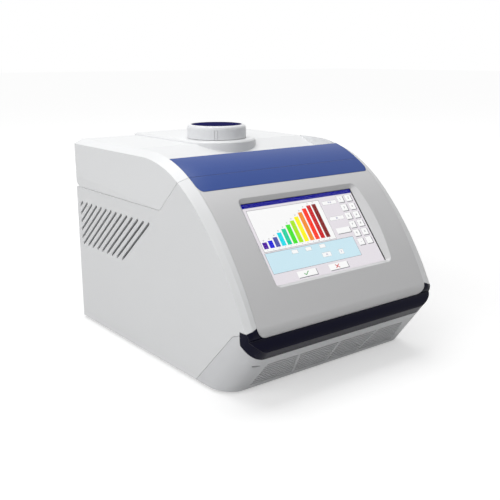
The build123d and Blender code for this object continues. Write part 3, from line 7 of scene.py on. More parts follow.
import logging
import math
from dataclasses import dataclass, field
from enum import Enum

import bmesh
import bpy
from mathutils import Matrix, Vector

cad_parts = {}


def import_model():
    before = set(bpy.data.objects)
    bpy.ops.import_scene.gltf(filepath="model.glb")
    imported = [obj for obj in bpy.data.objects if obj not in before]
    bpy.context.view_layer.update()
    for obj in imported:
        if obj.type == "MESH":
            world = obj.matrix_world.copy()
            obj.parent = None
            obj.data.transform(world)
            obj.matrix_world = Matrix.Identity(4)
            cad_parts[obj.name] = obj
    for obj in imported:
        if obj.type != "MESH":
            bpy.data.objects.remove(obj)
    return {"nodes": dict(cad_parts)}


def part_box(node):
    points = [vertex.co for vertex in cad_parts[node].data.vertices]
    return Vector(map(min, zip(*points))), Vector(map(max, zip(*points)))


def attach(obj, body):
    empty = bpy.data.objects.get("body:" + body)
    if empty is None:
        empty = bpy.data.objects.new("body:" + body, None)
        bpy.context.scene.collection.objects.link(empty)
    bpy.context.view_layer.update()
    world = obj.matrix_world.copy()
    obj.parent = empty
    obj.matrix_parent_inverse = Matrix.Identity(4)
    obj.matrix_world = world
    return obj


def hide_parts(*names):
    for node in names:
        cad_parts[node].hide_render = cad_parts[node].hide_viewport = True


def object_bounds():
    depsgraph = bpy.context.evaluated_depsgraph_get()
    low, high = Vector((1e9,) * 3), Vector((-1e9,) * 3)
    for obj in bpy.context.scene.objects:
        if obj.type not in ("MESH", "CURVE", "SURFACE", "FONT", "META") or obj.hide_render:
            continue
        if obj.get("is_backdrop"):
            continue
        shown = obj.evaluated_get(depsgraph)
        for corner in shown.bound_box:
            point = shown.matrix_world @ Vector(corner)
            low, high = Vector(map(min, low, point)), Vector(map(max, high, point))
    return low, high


log = logging.getLogger("thermal_cycler")

MM = 0.001
Colour = tuple[float, float, float]
Point = tuple[float, float, float]
OPAQUE_WHITE = (1.0, 1.0, 1.0, 1.0)

# Colour sockets of a Mix node by number, because their names repeat for each kind of data.
MIX_FIRST = 6
MIX_SECOND = 7
MIX_RESULT = 2


def srgb(red: int, green: int, blue: int) -> Colour:
    """Turn a colour written as 0 to 255 into the linear values of a shader.

    Args:
        red: Red, 0 to 255.
        green: Green, 0 to 255.
        blue: Blue, 0 to 255.

    Returns:
        The linear colour.
    """

    def linear(value: int) -> float:
        """Linear value of one channel."""
        share = value / 255
        return share / 12.92 if share <= 0.04045 else ((share + 0.055) / 1.055) ** 2.4

    return linear(red), linear(green), linear(blue)


class Graph:
    """Short way to add and join the nodes of one tree."""

    def __init__(self, tree: bpy.types.NodeTree) -> None:
        """Keep the tree."""
        self.tree = tree

    def add(self, kind: str, **values: object) -> bpy.types.Node:
        """Add a node.

        Args:
            kind: The node's type name, without its ShaderNode prefix.
            **values: Properties of the node, set by name.

        Returns:
            The new node.
        """
        name = kind if kind.startswith("Node") else "ShaderNode" + kind
        node = self.tree.nodes.new(name)
        for key, value in values.items():
            setattr(node, key, value)
        return node

    def join(
        self,
        source: bpy.types.Node,
        output: str | int,
        target: bpy.types.Node,
        socket: str | int,
    ) -> None:
        """Link an output of one node to an input of another."""
        self.tree.links.new(source.outputs[output], target.inputs[socket])

    def maths(
        self, operation: str, first: tuple[bpy.types.Node, str | int], second: float
    ) -> bpy.types.Node:
        """Add a maths node that takes one link and one number.

        Args:
            operation: Name of the operation.
            first: Node and output that feed the first socket.
            second: Value of the second socket.

        Returns:
            The maths node.
        """
        node = self.add("Math", operation=operation)
        self.join(first[0], first[1], node, 0)
        node.inputs[1].default_value = second
        return node


class Effect:
    """Shader node groups that more than one finish uses, each built once.

    Attributes:
        FINE_DETAIL: Detail of the moulded grain.
        BROAD_SCALE: Scale of the mottling.
        DETAIL: Detail of the mottling and of the brushed lines.
        MOTTLE_ROUGHNESS: How much of the mottling goes into the roughness.
        LINE_SHADE: Darkest and lightest shade of a brushed line.
        LINE_ROUGHNESS: How much a brushed line adds to the roughness.
        EDGE_SAMPLES: Samples of the rounded normal.
    """

    FINE_DETAIL = 3.0
    BROAD_SCALE = 14.0
    DETAIL = 4.0
    MOTTLE_ROUGHNESS = 1.5
    LINE_SHADE = (0.86, 1.12)
    LINE_ROUGHNESS = 0.18
    EDGE_SAMPLES = 6

    @staticmethod
    def _start(
        name: str, inputs: dict[str, tuple[str, object]], outputs: dict[str, str]
    ) -> tuple[bpy.types.NodeTree, Graph, bpy.types.Node, bpy.types.Node]:
        """Make an empty group with its sockets.

        Args:
            name: Name of the group.
            inputs: Socket type and default value by name.
            outputs: Socket type by name.

        Returns:
            The group, its graph, and its input and output nodes.
        """
        tree = bpy.data.node_groups.new(name, "ShaderNodeTree")
        for label, (kind, value) in inputs.items():
            socket = tree.interface.new_socket(name=label, in_out="INPUT", socket_type=kind)
            if value is not None:
                socket.default_value = value
        for label, kind in outputs.items():
            tree.interface.new_socket(name=label, in_out="OUTPUT", socket_type=kind)
        graph = Graph(tree)
        return tree, graph, graph.add("NodeGroupInput"), graph.add("NodeGroupOutput")

    @classmethod
    def moulded_grain(cls) -> bpy.types.NodeTree:
        """Fine spark-eroded grain of a moulded part, with faint mottling of its colour.

        Returns:
            The node group.
        """
        name = "moulded_grain"
        if name in bpy.data.node_groups:
            return bpy.data.node_groups[name]
        tree, graph, source, result = cls._start(
            name,
            {
                "Vector": ("NodeSocketVector", None),
                "Colour": ("NodeSocketColor", (0.8, 0.8, 0.8, 1.0)),
                "Roughness": ("NodeSocketFloat", 0.4),
                "Grain": ("NodeSocketFloat", 2500.0),
                "Mottle": ("NodeSocketFloat", 0.03),
            },
            {
                "Colour": "NodeSocketColor",
                "Roughness": "NodeSocketFloat",
                "Height": "NodeSocketFloat",
            },
        )
        fine = graph.add("TexNoise")
        fine.inputs["Detail"].default_value = cls.FINE_DETAIL
        graph.join(source, "Vector", fine, "Vector")
        graph.join(source, "Grain", fine, "Scale")
        broad = graph.add("TexNoise")
        broad.inputs["Scale"].default_value = cls.BROAD_SCALE
        broad.inputs["Detail"].default_value = cls.DETAIL
        graph.join(source, "Vector", broad, "Vector")
        swing = graph.add("MapRange")
        swing.inputs["To Min"].default_value = -1.0
        graph.join(broad, "Fac", swing, "Value")
        amount = graph.add("Math", operation="MULTIPLY")
        graph.join(swing, "Result", amount, 0)
        graph.join(source, "Mottle", amount, 1)
        bright = graph.maths("ADD", (amount, 0), 1.0)
        shade = graph.add("HueSaturation")
        graph.join(bright, 0, shade, "Value")
        graph.join(source, "Colour", shade, "Color")
        graph.join(shade, "Color", result, "Colour")
        rough = graph.add("Math", operation="MULTIPLY_ADD")
        graph.join(amount, 0, rough, 0)
        rough.inputs[1].default_value = cls.MOTTLE_ROUGHNESS
        graph.join(source, "Roughness", rough, 2)
        graph.join(rough, 0, result, "Roughness")
        graph.join(fine, "Fac", result, "Height")
        return tree

    @classmethod
    def brushed_lines(cls) -> bpy.types.NodeTree:
        """Long fine scratches of a brushed or ground metal face.

        Returns:
            The node group.
        """
        name = "brushed_lines"
        if name in bpy.data.node_groups:
            return bpy.data.node_groups[name]
        tree, graph, source, result = cls._start(
            name,
            {
                "Vector": ("NodeSocketVector", None),
                "Colour": ("NodeSocketColor", (0.6, 0.6, 0.6, 1.0)),
                "Roughness": ("NodeSocketFloat", 0.35),
                "Stretch": ("NodeSocketVector", (40.0, 2200.0, 2200.0)),
            },
            {
                "Colour": "NodeSocketColor",
                "Roughness": "NodeSocketFloat",
                "Height": "NodeSocketFloat",
            },
        )
        scaled = graph.add("VectorMath", operation="MULTIPLY")
        graph.join(source, "Vector", scaled, 0)
        graph.join(source, "Stretch", scaled, 1)
        lines = graph.add("TexNoise")
        lines.inputs["Scale"].default_value = 1.0
        lines.inputs["Detail"].default_value = cls.DETAIL
        graph.join(scaled, 0, lines, "Vector")
        bright = graph.add("MapRange")
        bright.inputs["To Min"].default_value = cls.LINE_SHADE[0]
        bright.inputs["To Max"].default_value = cls.LINE_SHADE[1]
        graph.join(lines, "Fac", bright, "Value")
        shade = graph.add("HueSaturation")
        graph.join(bright, "Result", shade, "Value")
        graph.join(source, "Colour", shade, "Color")
        graph.join(shade, "Color", result, "Colour")
        rough = graph.add("Math", operation="MULTIPLY_ADD")
        graph.join(lines, "Fac", rough, 0)
        rough.inputs[1].default_value = cls.LINE_ROUGHNESS
        graph.join(source, "Roughness", rough, 2)
        graph.join(rough, 0, result, "Roughness")
        graph.join(lines, "Fac", result, "Height")
        return tree

    @classmethod
    def soft_edge(cls) -> bpy.types.NodeTree:
        """Rounded normal along hard edges and a mask of those edges.

        Returns:
            The node group.
        """
        name = "soft_edge"
        if name in bpy.data.node_groups:
            return bpy.data.node_groups[name]
        tree, graph, source, result = cls._start(
            name,
            {"Radius": ("NodeSocketFloat", 0.0006), "Worn": ("NodeSocketFloat", 6.0)},
            {"Normal": "NodeSocketVector", "Edge": "NodeSocketFloat"},
        )
        rounded = graph.add("Bevel", samples=cls.EDGE_SAMPLES)
        graph.join(source, "Radius", rounded, "Radius")
        flat = graph.add("NewGeometry")
        facing = graph.add("VectorMath", operation="DOT_PRODUCT")
        graph.join(rounded, "Normal", facing, 0)
        graph.join(flat, "Normal", facing, 1)
        turned = graph.add("Math", operation="SUBTRACT", use_clamp=True)
        turned.inputs[0].default_value = 1.0
        graph.join(facing, "Value", turned, 1)
        mask = graph.add("Math", operation="MULTIPLY", use_clamp=True)
        graph.join(turned, 0, mask, 0)
        graph.join(source, "Worn", mask, 1)
        graph.join(rounded, "Normal", result, "Normal")
        graph.join(mask, 0, result, "Edge")
        return tree


class Grain(Enum):
    """Kind of fine surface detail."""

    MOULDED = "moulded_grain"
    BRUSHED = "brushed_lines"


@dataclass(frozen=True)
class Finish:
    """One procedural surface finish.

    Attributes:
        name: Name of the material.
        colour: Linear base colour.
        roughness: Base roughness.
        metallic: 0 for plastic and rubber, 1 for bare metal.
        coat: Weight of a clear gloss coat.
        grain: Kind of fine detail.
        grain_size: Scale of the moulded grain.
        relief: Height of the grain, in metres.
        mottle: Share by which the colour varies.
        edge: Radius of the softened edges, in metres.
        edge_lift: How much lighter the worn edges are.
        stretch: Direction of the brushed lines.
        coat_roughness: Roughness of the clear coat.
        specular: Specular level.
    """

    name: str
    colour: Colour
    roughness: float = 0.45
    metallic: float = 0.0
    coat: float = 0.0
    grain: Grain = Grain.MOULDED
    grain_size: float = 2600.0
    relief: float = 0.00002
    mottle: float = 0.02
    edge: float = 0.0006
    edge_lift: float = 0.08
    stretch: Point = (40.0, 2200.0, 2200.0)
    coat_roughness: float = 0.03
    specular: float = 0.5

    def build(self) -> bpy.types.Material:
        """Make the material, or return it if it is there already.

        Returns:
            The material.
        """
        if self.name in bpy.data.materials:
            return bpy.data.materials[self.name]
        material = bpy.data.materials.new(self.name)
        material.use_nodes = True
        material.diffuse_color = (*self.colour, 1.0)
        graph = Graph(material.node_tree)
        shader = material.node_tree.nodes["Principled BSDF"]
        shader.inputs["Metallic"].default_value = self.metallic
        shader.inputs["Coat Weight"].default_value = self.coat
        shader.inputs["Coat Roughness"].default_value = self.coat_roughness
        shader.inputs["Specular IOR Level"].default_value = self.specular
        place = graph.add("TexCoord")
        grain = graph.add("Group")
        grain.node_tree = (
            Effect.moulded_grain() if self.grain is Grain.MOULDED else Effect.brushed_lines()
        )
        graph.join(place, "Object", grain, "Vector")
        grain.inputs["Colour"].default_value = (*self.colour, 1.0)
        grain.inputs["Roughness"].default_value = self.roughness
        if self.grain is Grain.MOULDED:
            grain.inputs["Grain"].default_value = self.grain_size
            grain.inputs["Mottle"].default_value = self.mottle
        else:
            grain.inputs["Stretch"].default_value = self.stretch
        edges = graph.add("Group")
        edges.node_tree = Effect.soft_edge()
        edges.inputs["Radius"].default_value = self.edge
        worn = graph.add("Mix", data_type="RGBA")
        lift = graph.maths("MULTIPLY", (edges, "Edge"), self.edge_lift)
        graph.join(lift, 0, worn, "Factor")
        graph.join(grain, "Colour", worn, MIX_FIRST)
        worn.inputs[MIX_SECOND].default_value = OPAQUE_WHITE
        graph.join(worn, MIX_RESULT, shader, "Base Color")
        graph.join(grain, "Roughness", shader, "Roughness")
        bump = graph.add("Bump")
        bump.inputs["Strength"].default_value = 1.0
        bump.inputs["Distance"].default_value = self.relief
        graph.join(grain, "Height", bump, "Height")
        graph.join(edges, "Normal", bump, "Normal")
        graph.join(bump, "Normal", shader, "Normal")
        return material


@dataclass(frozen=True)
class GlassFinish:
    """Clear cover glass, coated so that little is mirrored in it.

    Attributes:
        name: Name of the material.
        roughness: Most that smears roughen it.
        index: Index of refraction.
        smear_scale: Scale of the smears.
    """

    name: str = "cover_glass"
    roughness: float = 0.02
    index: float = 1.15
    smear_scale: float = 30.0

    def build(self) -> bpy.types.Material:
        """Make the material.

        Returns:
            The material.
        """
        material = bpy.data.materials.new(self.name)
        material.use_nodes = True
        graph = Graph(material.node_tree)
        shader = material.node_tree.nodes["Principled BSDF"]
        shader.inputs["Base Color"].default_value = OPAQUE_WHITE
        shader.inputs["Transmission Weight"].default_value = 1.0
        shader.inputs["IOR"].default_value = self.index
        place = graph.add("TexCoord")
        smears = graph.add("TexNoise")
        smears.inputs["Scale"].default_value = self.smear_scale
        graph.join(place, "Object", smears, "Vector")
        rough = graph.maths("MULTIPLY", (smears, "Fac"), self.roughness)
        graph.join(rough, 0, shader, "Roughness")
        return material


@dataclass(frozen=True)
class LitFinish:
    """Colour of one field of the lit display.

    Attributes:
        name: Name of the material.
        colour: Linear colour of the light.
        strength: Strength of the light.
        unlit: Grey of the panel when it is off.
        roughness: Roughness of the panel.
        row_scale: Scale of the rows of light points.
        row_dim: Light between two rows, as a share.
    """

    name: str
    colour: Colour
    strength: float = 1.0
    unlit: float = 0.02
    roughness: float = 0.5
    row_scale: float = 900.0
    row_dim: float = 0.94

    def build(self) -> bpy.types.Material:
        """Make the material, or return it if it is there already.

        Returns:
            The material.
        """
        if self.name in bpy.data.materials:
            return bpy.data.materials[self.name]
        material = bpy.data.materials.new(self.name)
        material.use_nodes = True
        graph = Graph(material.node_tree)
        shader = material.node_tree.nodes["Principled BSDF"]
        shader.inputs["Base Color"].default_value = (self.unlit, self.unlit, self.unlit, 1.0)
        shader.inputs["Roughness"].default_value = self.roughness
        shader.inputs["Specular IOR Level"].default_value = 0.0
        shader.inputs["Emission Strength"].default_value = self.strength
        place = graph.add("TexCoord")
        rows = graph.add("TexWave", bands_direction="Z")
        rows.inputs["Scale"].default_value = self.row_scale
        graph.join(place, "Object", rows, "Vector")
        dim = graph.add("MapRange")
        dim.inputs["To Min"].default_value = self.row_dim
        dim.inputs["To Max"].default_value = 1.0
        graph.join(rows, "Fac", dim, "Value")
        shade = graph.add("HueSaturation")
        shade.inputs["Color"].default_value = (*self.colour, 1.0)
        graph.join(dim, "Result", shade, "Value")
        graph.join(shade, "Color", shader, "Emission Color")
        return material


CASE_WHITE = Finish("case_white", srgb(224, 225, 226), roughness=0.38, mottle=0.012)
# Lid: the case's white plastic set a shade lighter, which is painted light for its brighter top
# under the lamps.
LID_WHITE_PAINTED_LIGHT = Finish("lid_white_painted_light", srgb(230, 231, 232), roughness=0.36, mottle=0.012)
# Fascia: a grey panel, set darker than the case partly for its own grey and partly as painted shade
# of its sloping front.
FASCIA_GREY_AND_SHADE = Finish("fascia_grey_and_painted_shade", srgb(208, 208, 209), roughness=0.34, mottle=0.012)
# Chin: the case's white plastic set darker, which is painted shade for the downward-facing cover.
CHIN_PAINTED_SHADE = Finish("chin_white_painted_shade", srgb(210, 211, 213), roughness=0.42)
BAND_BLUE = Finish(
    "band_blue", srgb(57, 83, 153), roughness=0.12, relief=0.000001, mottle=0.02, specular=0.12
)
STRIP_BLUE = Finish(
    "strip_blue", srgb(4, 4, 32), roughness=0.12, relief=0.000001, mottle=0.02, specular=0.08
)
KNOB_WHITE = Finish("knob_white", srgb(228, 229, 231), roughness=0.4)
KNOB_INDIGO = Finish(
    "knob_indigo", srgb(36, 36, 84), roughness=0.7, relief=0.000004, specular=0.0
)
BEZEL_BLACK = Finish("bezel_black", srgb(22, 22, 26), roughness=0.5)
SHEET_STEEL = Finish(
    "sheet_steel", srgb(176, 178, 180), roughness=0.3, metallic=1.0, grain=Grain.BRUSHED
)
REAR_PAINT = Finish(
    "rear_paint", srgb(206, 208, 211), roughness=0.5, grain_size=900.0, relief=0.00005
)
DECK_PLASTIC = Finish("deck_plastic", srgb(198, 200, 203), roughness=0.5)
SOFT_BLACK = Finish("soft_black", srgb(34, 34, 36), roughness=0.8, mottle=0.08)
CAST_ALLOY = Finish(
    "cast_alloy",
    srgb(205, 206, 208),
    roughness=0.3,
    metallic=1.0,
    grain=Grain.BRUSHED,
    stretch=(60.0, 60.0, 900.0),
)
CERAMIC = Finish("ceramic", srgb(240, 240, 236), roughness=0.6)
BRONZE = Finish(
    "bronze", srgb(200, 160, 96), roughness=0.25, metallic=1.0, grain=Grain.BRUSHED
)
GROUND_STEEL = Finish(
    "ground_steel", srgb(190, 192, 195), roughness=0.2, metallic=1.0, grain=Grain.BRUSHED
)
ZINC = Finish("zinc", srgb(210, 212, 214), roughness=0.22, metallic=1.0, grain=Grain.BRUSHED)
BLACK_PLASTIC = Finish("black_plastic", srgb(30, 30, 32), roughness=0.45, mottle=0.05)
BOARD_GREEN = Finish("board_green", srgb(24, 92, 52), roughness=0.4, coat=0.3)
FOAM = Finish(
    "foam", srgb(64, 64, 68), roughness=0.95, grain_size=420.0, relief=0.0006, mottle=0.3
)
HEATER_PAD = Finish("heater_pad", srgb(196, 108, 58), roughness=0.5)

LIT_WHITE = LitFinish("lit_white", srgb(250, 250, 250))
LIT_PALE_GREY = LitFinish("lit_pale_grey", srgb(229, 224, 230))
LIT_NAVY = LitFinish("lit_navy", srgb(0, 0, 140))
LIT_PALE_BLUE = LitFinish("lit_pale_blue", srgb(203, 232, 243))
LIT_GREY = LitFinish("lit_grey", srgb(120, 120, 126))
LIT_INK = LitFinish("lit_ink", srgb(40, 40, 60))
LIT_GREEN = LitFinish("lit_green", srgb(40, 160, 60))
LIT_RED = LitFinish("lit_red", srgb(200, 30, 40))

NODE_FINISHES: dict[str, Finish] = {
    "lid_shell": LID_WHITE_PAINTED_LIGHT,
    "housing_shell": CASE_WHITE,
    "front_panel": FASCIA_GREY_AND_SHADE,
    "chin_cover": CHIN_PAINTED_SHADE,
    "band_upper": BAND_BLUE,
    "band_lower": BAND_BLUE,
    "bumper_strip": STRIP_BLUE,
    "knob": KNOB_WHITE,
    "knob_cap": KNOB_INDIGO,
    "display_module": BEZEL_BLACK,
    "base_tray": SHEET_STEEL,
    "display_bracket": SHEET_STEEL,
    "sink_brackets": SHEET_STEEL,
    "cross_beam": SHEET_STEEL,
    "power_supply": SHEET_STEEL,
    "rear_panel": REAR_PAINT,
    "deck": DECK_PLASTIC,
    "lid_liner": DECK_PLASTIC,
    "block_gasket": SOFT_BLACK,
    "rubber_feet": SOFT_BLACK,
    "sample_block": CAST_ALLOY,
    "heat_sink": CAST_ALLOY,
    "heated_plate": CAST_ALLOY,
    "plate_carrier": CAST_ALLOY,
    "cooler_modules": CERAMIC,
    "lead_nut": BRONZE,
    "spindle_bush": BRONZE,
    "inlet_pins": BRONZE,
    "board_standoffs": BRONZE,
    "spindle": GROUND_STEEL,
    "guide_posts": GROUND_STEEL,
    "hinge_pins": GROUND_STEEL,
    "hinge_base_brackets": GROUND_STEEL,
    "hinge_lid_brackets": GROUND_STEEL,
    "catch_plates": GROUND_STEEL,
    "rear_screws": ZINC,
    "catch_magnets": ZINC,
    "usb_sockets": ZINC,
    "power_entry": BLACK_PLASTIC,
    "fuse_drawer": BLACK_PLASTIC,
    "switch_body": BLACK_PLASTIC,
    "rocker_switch": BLACK_PLASTIC,
    "fan_frame": BLACK_PLASTIC,
    "fan_rotor": BLACK_PLASTIC,
    "air_duct": BLACK_PLASTIC,
    "control_board": BOARD_GREEN,
    "air_filter": FOAM,
    "heater_pad": HEATER_PAD,
}


def mesh_piece(name: str, mesh: bmesh.types.BMesh, finish: bpy.types.Material) -> bpy.types.Object:
    """Turn a built mesh into an object with one material.

    Args:
        name: Name of the object.
        mesh: The mesh, which is freed.
        finish: Its material.

    Returns:
        The new object.
    """
    data = bpy.data.meshes.new(name)
    mesh.to_mesh(data)
    mesh.free()
    data.materials.append(finish)
    piece = bpy.data.objects.new(name, data)
    bpy.context.scene.collection.objects.link(piece)
    return piece


@dataclass(frozen=True)
class Panel:
    """A flat rectangle of the display, in shares of its width and height from the top left.

    Attributes:
        left: Left edge.
        top: Top edge.
        right: Right edge.
        bottom: Bottom edge.
    """

    left: float
    top: float
    right: float
    bottom: float


@dataclass
class DisplayPicture:
    """The lit picture under the cover glass: a bar chart, fields and a number pad.

    Attributes:
        width: Width of the picture.
        height: Height of the picture.
        tilt: Angle of the glass from the level.
        layer: Height of one printed layer.
        depth: Distance from the front of the glass to the picture.
        glass: Thickness of the cover glass.
        bar_first: Middle of the first bar, as a share of the width.
        bar_pitch: Distance from bar to bar, as a share of the width.
        bar_width: Width of a bar, as a share of the width.
        bar_foot: Foot of the bars, as a share of the height.
        bar_tops: Top of each bar, as a share of the height.
        bar_colours: Colour of each bar.
        bar_row: Height of the numbers under the bars, as a share of the height.
        value_rise: Distance of a value above its bar, as a share of the height.
        value_first: Value over the first bar.
        value_step: Step from value to value.
        digit_size: Height of the numbers on the keys.
        field_size: Height of the numbers in the fields, as a share of those on the keys.
        label_size: Height of the numbers at the bars.
        title_foot: Foot of the title bar.
        chart: Field of the bar chart.
        entry: Pale field under the chart.
        key_lefts: Left edge of each column of keys.
        key_rows: Number of rows of keys.
        key_top: Top edge of the first row.
        key_pitch: Distance from row to row.
        key_width: Width of a key.
        key_height: Height of a key.
        key_marks: Mark of each key, row by row.
        shadow: How far each edge of a shadow is moved from that of its key.
        values: White fields for values.
        buttons: Wide keys.
        tick: Points of the green tick.
        cross: Points of the two strokes of the red cross.
        frame_line: Width of the lines round the chart and the pale field.
        key_line: Width of the lines round keys and values.
        sign_line: Width of the strokes of tick and cross.
        text_layer: Number of the layer that holds the numbers.
        pieces: Pieces made so far.
    """

    width: float = 154.4 * MM
    height: float = 91.2 * MM
    tilt: float = math.radians(50.7)
    layer: float = 0.01 * MM
    depth: float = 1.94 * MM
    glass: float = 1.8 * MM
    bar_first: float = 0.060
    bar_pitch: float = 0.0495
    bar_width: float = 0.037
    bar_foot: float = 0.565
    bar_tops: tuple[float, ...] = (
        0.485,
        0.475,
        0.445,
        0.400,
        0.365,
        0.325,
        0.285,
        0.245,
        0.200,
        0.160,
        0.130,
        0.125,
    )
    bar_colours: tuple[Colour, ...] = (
        srgb(75, 0, 160),
        srgb(0, 0, 220),
        srgb(75, 80, 170),
        srgb(0, 220, 235),
        srgb(0, 210, 160),
        srgb(60, 230, 30),
        srgb(170, 235, 0),
        srgb(255, 245, 0),
        srgb(245, 140, 30),
        srgb(255, 40, 0),
        srgb(205, 0, 10),
        srgb(130, 0, 0),
    )
    bar_row: float = 0.583
    value_rise: float = 0.022
    value_first: int = 20
    value_step: int = 5
    digit_size: float = 3.6 * MM
    field_size: float = 0.8
    label_size: float = 1.9 * MM
    title_foot: float = 0.052
    chart: Panel = Panel(0.03, 0.085, 0.665, 0.60)
    entry: Panel = Panel(0.025, 0.615, 0.815, 0.865)
    key_lefts: tuple[float, ...] = (0.842, 0.922)
    key_rows: int = 6
    key_top: float = 0.07
    key_pitch: float = 0.117
    key_width: float = 0.056
    key_height: float = 0.088
    key_marks: tuple[str, ...] = ("1", "2", "3", "4", "5", "6", "7", "8", "9", "0", "-", ".")
    shadow: Panel = Panel(0.004, 0.008, 0.005, 0.009)
    values: tuple[Panel, ...] = (
        Panel(0.688, 0.112, 0.822, 0.160),
        Panel(0.688, 0.325, 0.822, 0.373),
        Panel(0.242, 0.635, 0.292, 0.680),
        Panel(0.362, 0.635, 0.412, 0.680),
        Panel(0.488, 0.635, 0.538, 0.680),
        Panel(0.478, 0.740, 0.556, 0.795),
        Panel(0.632, 0.740, 0.672, 0.800),
    )
    buttons: tuple[Panel, ...] = (
        Panel(0.698, 0.480, 0.826, 0.552),
        Panel(0.205, 0.893, 0.370, 0.968),
        Panel(0.485, 0.893, 0.655, 0.968),
    )
    tick: tuple[tuple[float, float], ...] = ((0.262, 0.930), (0.275, 0.948), (0.300, 0.912))
    cross: tuple[tuple[tuple[float, float], ...], ...] = (
        ((0.545, 0.912), (0.575, 0.950)),
        ((0.575, 0.912), (0.545, 0.950)),
    )
    frame_line: float = 0.35 * MM
    key_line: float = 0.14 * MM
    sign_line: float = 0.9 * MM
    text_layer: int = 8
    pieces: list[bpy.types.Object] = field(default_factory=list)

    def place(self) -> Matrix:
        """Matrix from picture coordinates to the frame, taken from the glass."""
        low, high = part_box("touch_glass")
        normal = Vector((0, -math.sin(self.tilt), math.cos(self.tilt)))
        up = Vector((0, math.cos(self.tilt), math.sin(self.tilt)))
        front = (low + high) / 2 + normal * self.glass / 2
        origin = front - normal * self.depth
        turn = Matrix((Vector((1, 0, 0)), up, normal)).transposed().to_4x4()
        return Matrix.Translation(origin) @ turn

    def point(self, across: float, down: float, layer: float) -> Vector:
        """Picture point in metres, for shares from the top left and a layer number."""
        return Vector(
            ((across - 0.5) * self.width, (0.5 - down) * self.height, layer * self.layer)
        )

    def rectangles(self, name: str, ink: LitFinish, panels: list[Panel], layer: int) -> None:
        """Lay thin plates of one colour on the picture.

        Args:
            name: Name of the piece.
            ink: Its colour.
            panels: The rectangles.
            layer: Number of the layer, from the back.
        """
        mesh = bmesh.new()
        for panel in panels:
            corners = (
                self.point(panel.left, panel.top, layer),
                self.point(panel.left, panel.bottom, layer),
                self.point(panel.right, panel.bottom, layer),
                self.point(panel.right, panel.top, layer),
            )
            mesh.faces.new([mesh.verts.new(corner) for corner in corners])
        self.finish_piece(mesh_piece(name, mesh, ink.build()))

    def strokes(
        self,
        name: str,
        ink: LitFinish,
        lines: list[list[tuple[float, float]]],
        width: float,
        layer: int,
    ) -> None:
        """Draw bent strokes of one width.

        Args:
            name: Name of the piece.
            ink: Its colour.
            lines: Points of each stroke, in shares from the top left.
            width: Width of the strokes, in metres.
            layer: Number of the layer.
        """
        mesh = bmesh.new()
        for line in lines:
            points = [self.point(across, down, layer) for across, down in line]
            for start, end in zip(points, points[1:]):
                along = (end - start).normalized() * width / 2
                side = Vector((-along.y, along.x, 0))
                corners = (
                    start - along - side,
                    end + along - side,
                    end + along + side,
                    start - along + side,
                )
                mesh.faces.new([mesh.verts.new(corner) for corner in corners])
        self.finish_piece(mesh_piece(name, mesh, ink.build()))

    def numbers(
        self, name: str, ink: LitFinish, marks: list[tuple[str, float, float]], size: float
    ) -> None:
        """Set numbers on the picture.

        Args:
            name: Name of the piece.
            ink: Its colour.
            marks: Each number and its middle, in shares from the top left.
            size: Height of the type, in metres.
        """
        made = []
        for text, across, down in marks:
            curve = bpy.data.curves.new(name, "FONT")
            curve.body = text
            curve.size = size
            curve.align_x = "CENTER"
            curve.align_y = "CENTER"
            curve.resolution_u = 3
            made.append(bpy.data.objects.new(name, curve))
            made[-1].location = self.point(across, down, self.text_layer)
            bpy.context.scene.collection.objects.link(made[-1])
        bpy.context.view_layer.update()
        graph = bpy.context.evaluated_depsgraph_get()
        mesh = bmesh.new()
        for sign in made:
            part = bpy.data.meshes.new_from_object(sign.evaluated_get(graph))
            part.transform(sign.matrix_world)
            mesh.from_mesh(part)
            bpy.data.meshes.remove(part)
            bpy.data.objects.remove(sign)
        self.finish_piece(mesh_piece(name, mesh, ink.build()))

    def finish_piece(self, piece: bpy.types.Object) -> None:
        """Put a piece in its place behind the glass and on the base."""
        piece.data.transform(self.place())
        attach(piece, "base")
        self.pieces.append(piece)

    def frame_lines(self, panel: Panel) -> list[list[tuple[float, float]]]:
        """Closed outline of a rectangle as one stroke."""
        return [
            [
                (panel.left, panel.top),
                (panel.right, panel.top),
                (panel.right, panel.bottom),
                (panel.left, panel.bottom),
                (panel.left, panel.top),
            ]
        ]

    def build_fields(self) -> None:
        """Make the ground, the title bar, the chart's field and the pale field."""
        self.rectangles("picture_ground", LIT_PALE_GREY, [Panel(0, 0, 1, 1)], 0)
        self.rectangles("picture_title", LIT_NAVY, [Panel(0.0, 0.0, 1, self.title_foot)], 1)
        self.rectangles("picture_chart", LIT_WHITE, [self.chart], 1)
        self.rectangles("picture_entry", LIT_PALE_BLUE, [self.entry], 1)
        outlines = self.frame_lines(self.chart) + self.frame_lines(self.entry)
        self.strokes("picture_frames", LIT_GREY, outlines, self.frame_line, 2)

    def build_bars(self) -> None:
        """Make the bars with their numbers."""
        numbers = []
        values = []
        for index, (top, colour) in enumerate(zip(self.bar_tops, self.bar_colours)):
            middle = self.bar_first + index * self.bar_pitch
            bar = Panel(
                middle - self.bar_width / 2, top, middle + self.bar_width / 2, self.bar_foot
            )
            self.rectangles(f"bar_{index + 1}", LitFinish(f"lit_bar_{index + 1}", colour), [bar], 2)
            numbers.append((str(index + 1), middle, self.bar_row))
            value = self.value_first + self.value_step * index
            values.append((str(value), middle, top - self.value_rise))
        self.numbers("bar_numbers", LIT_INK, numbers + values, self.label_size)

    def keys(self) -> list[Panel]:
        """Keys of the number pad, row by row."""
        found = []
        for row in range(self.key_rows):
            top = self.key_top + row * self.key_pitch
            for left in self.key_lefts:
                found.append(Panel(left, top, left + self.key_width, top + self.key_height))
        return found

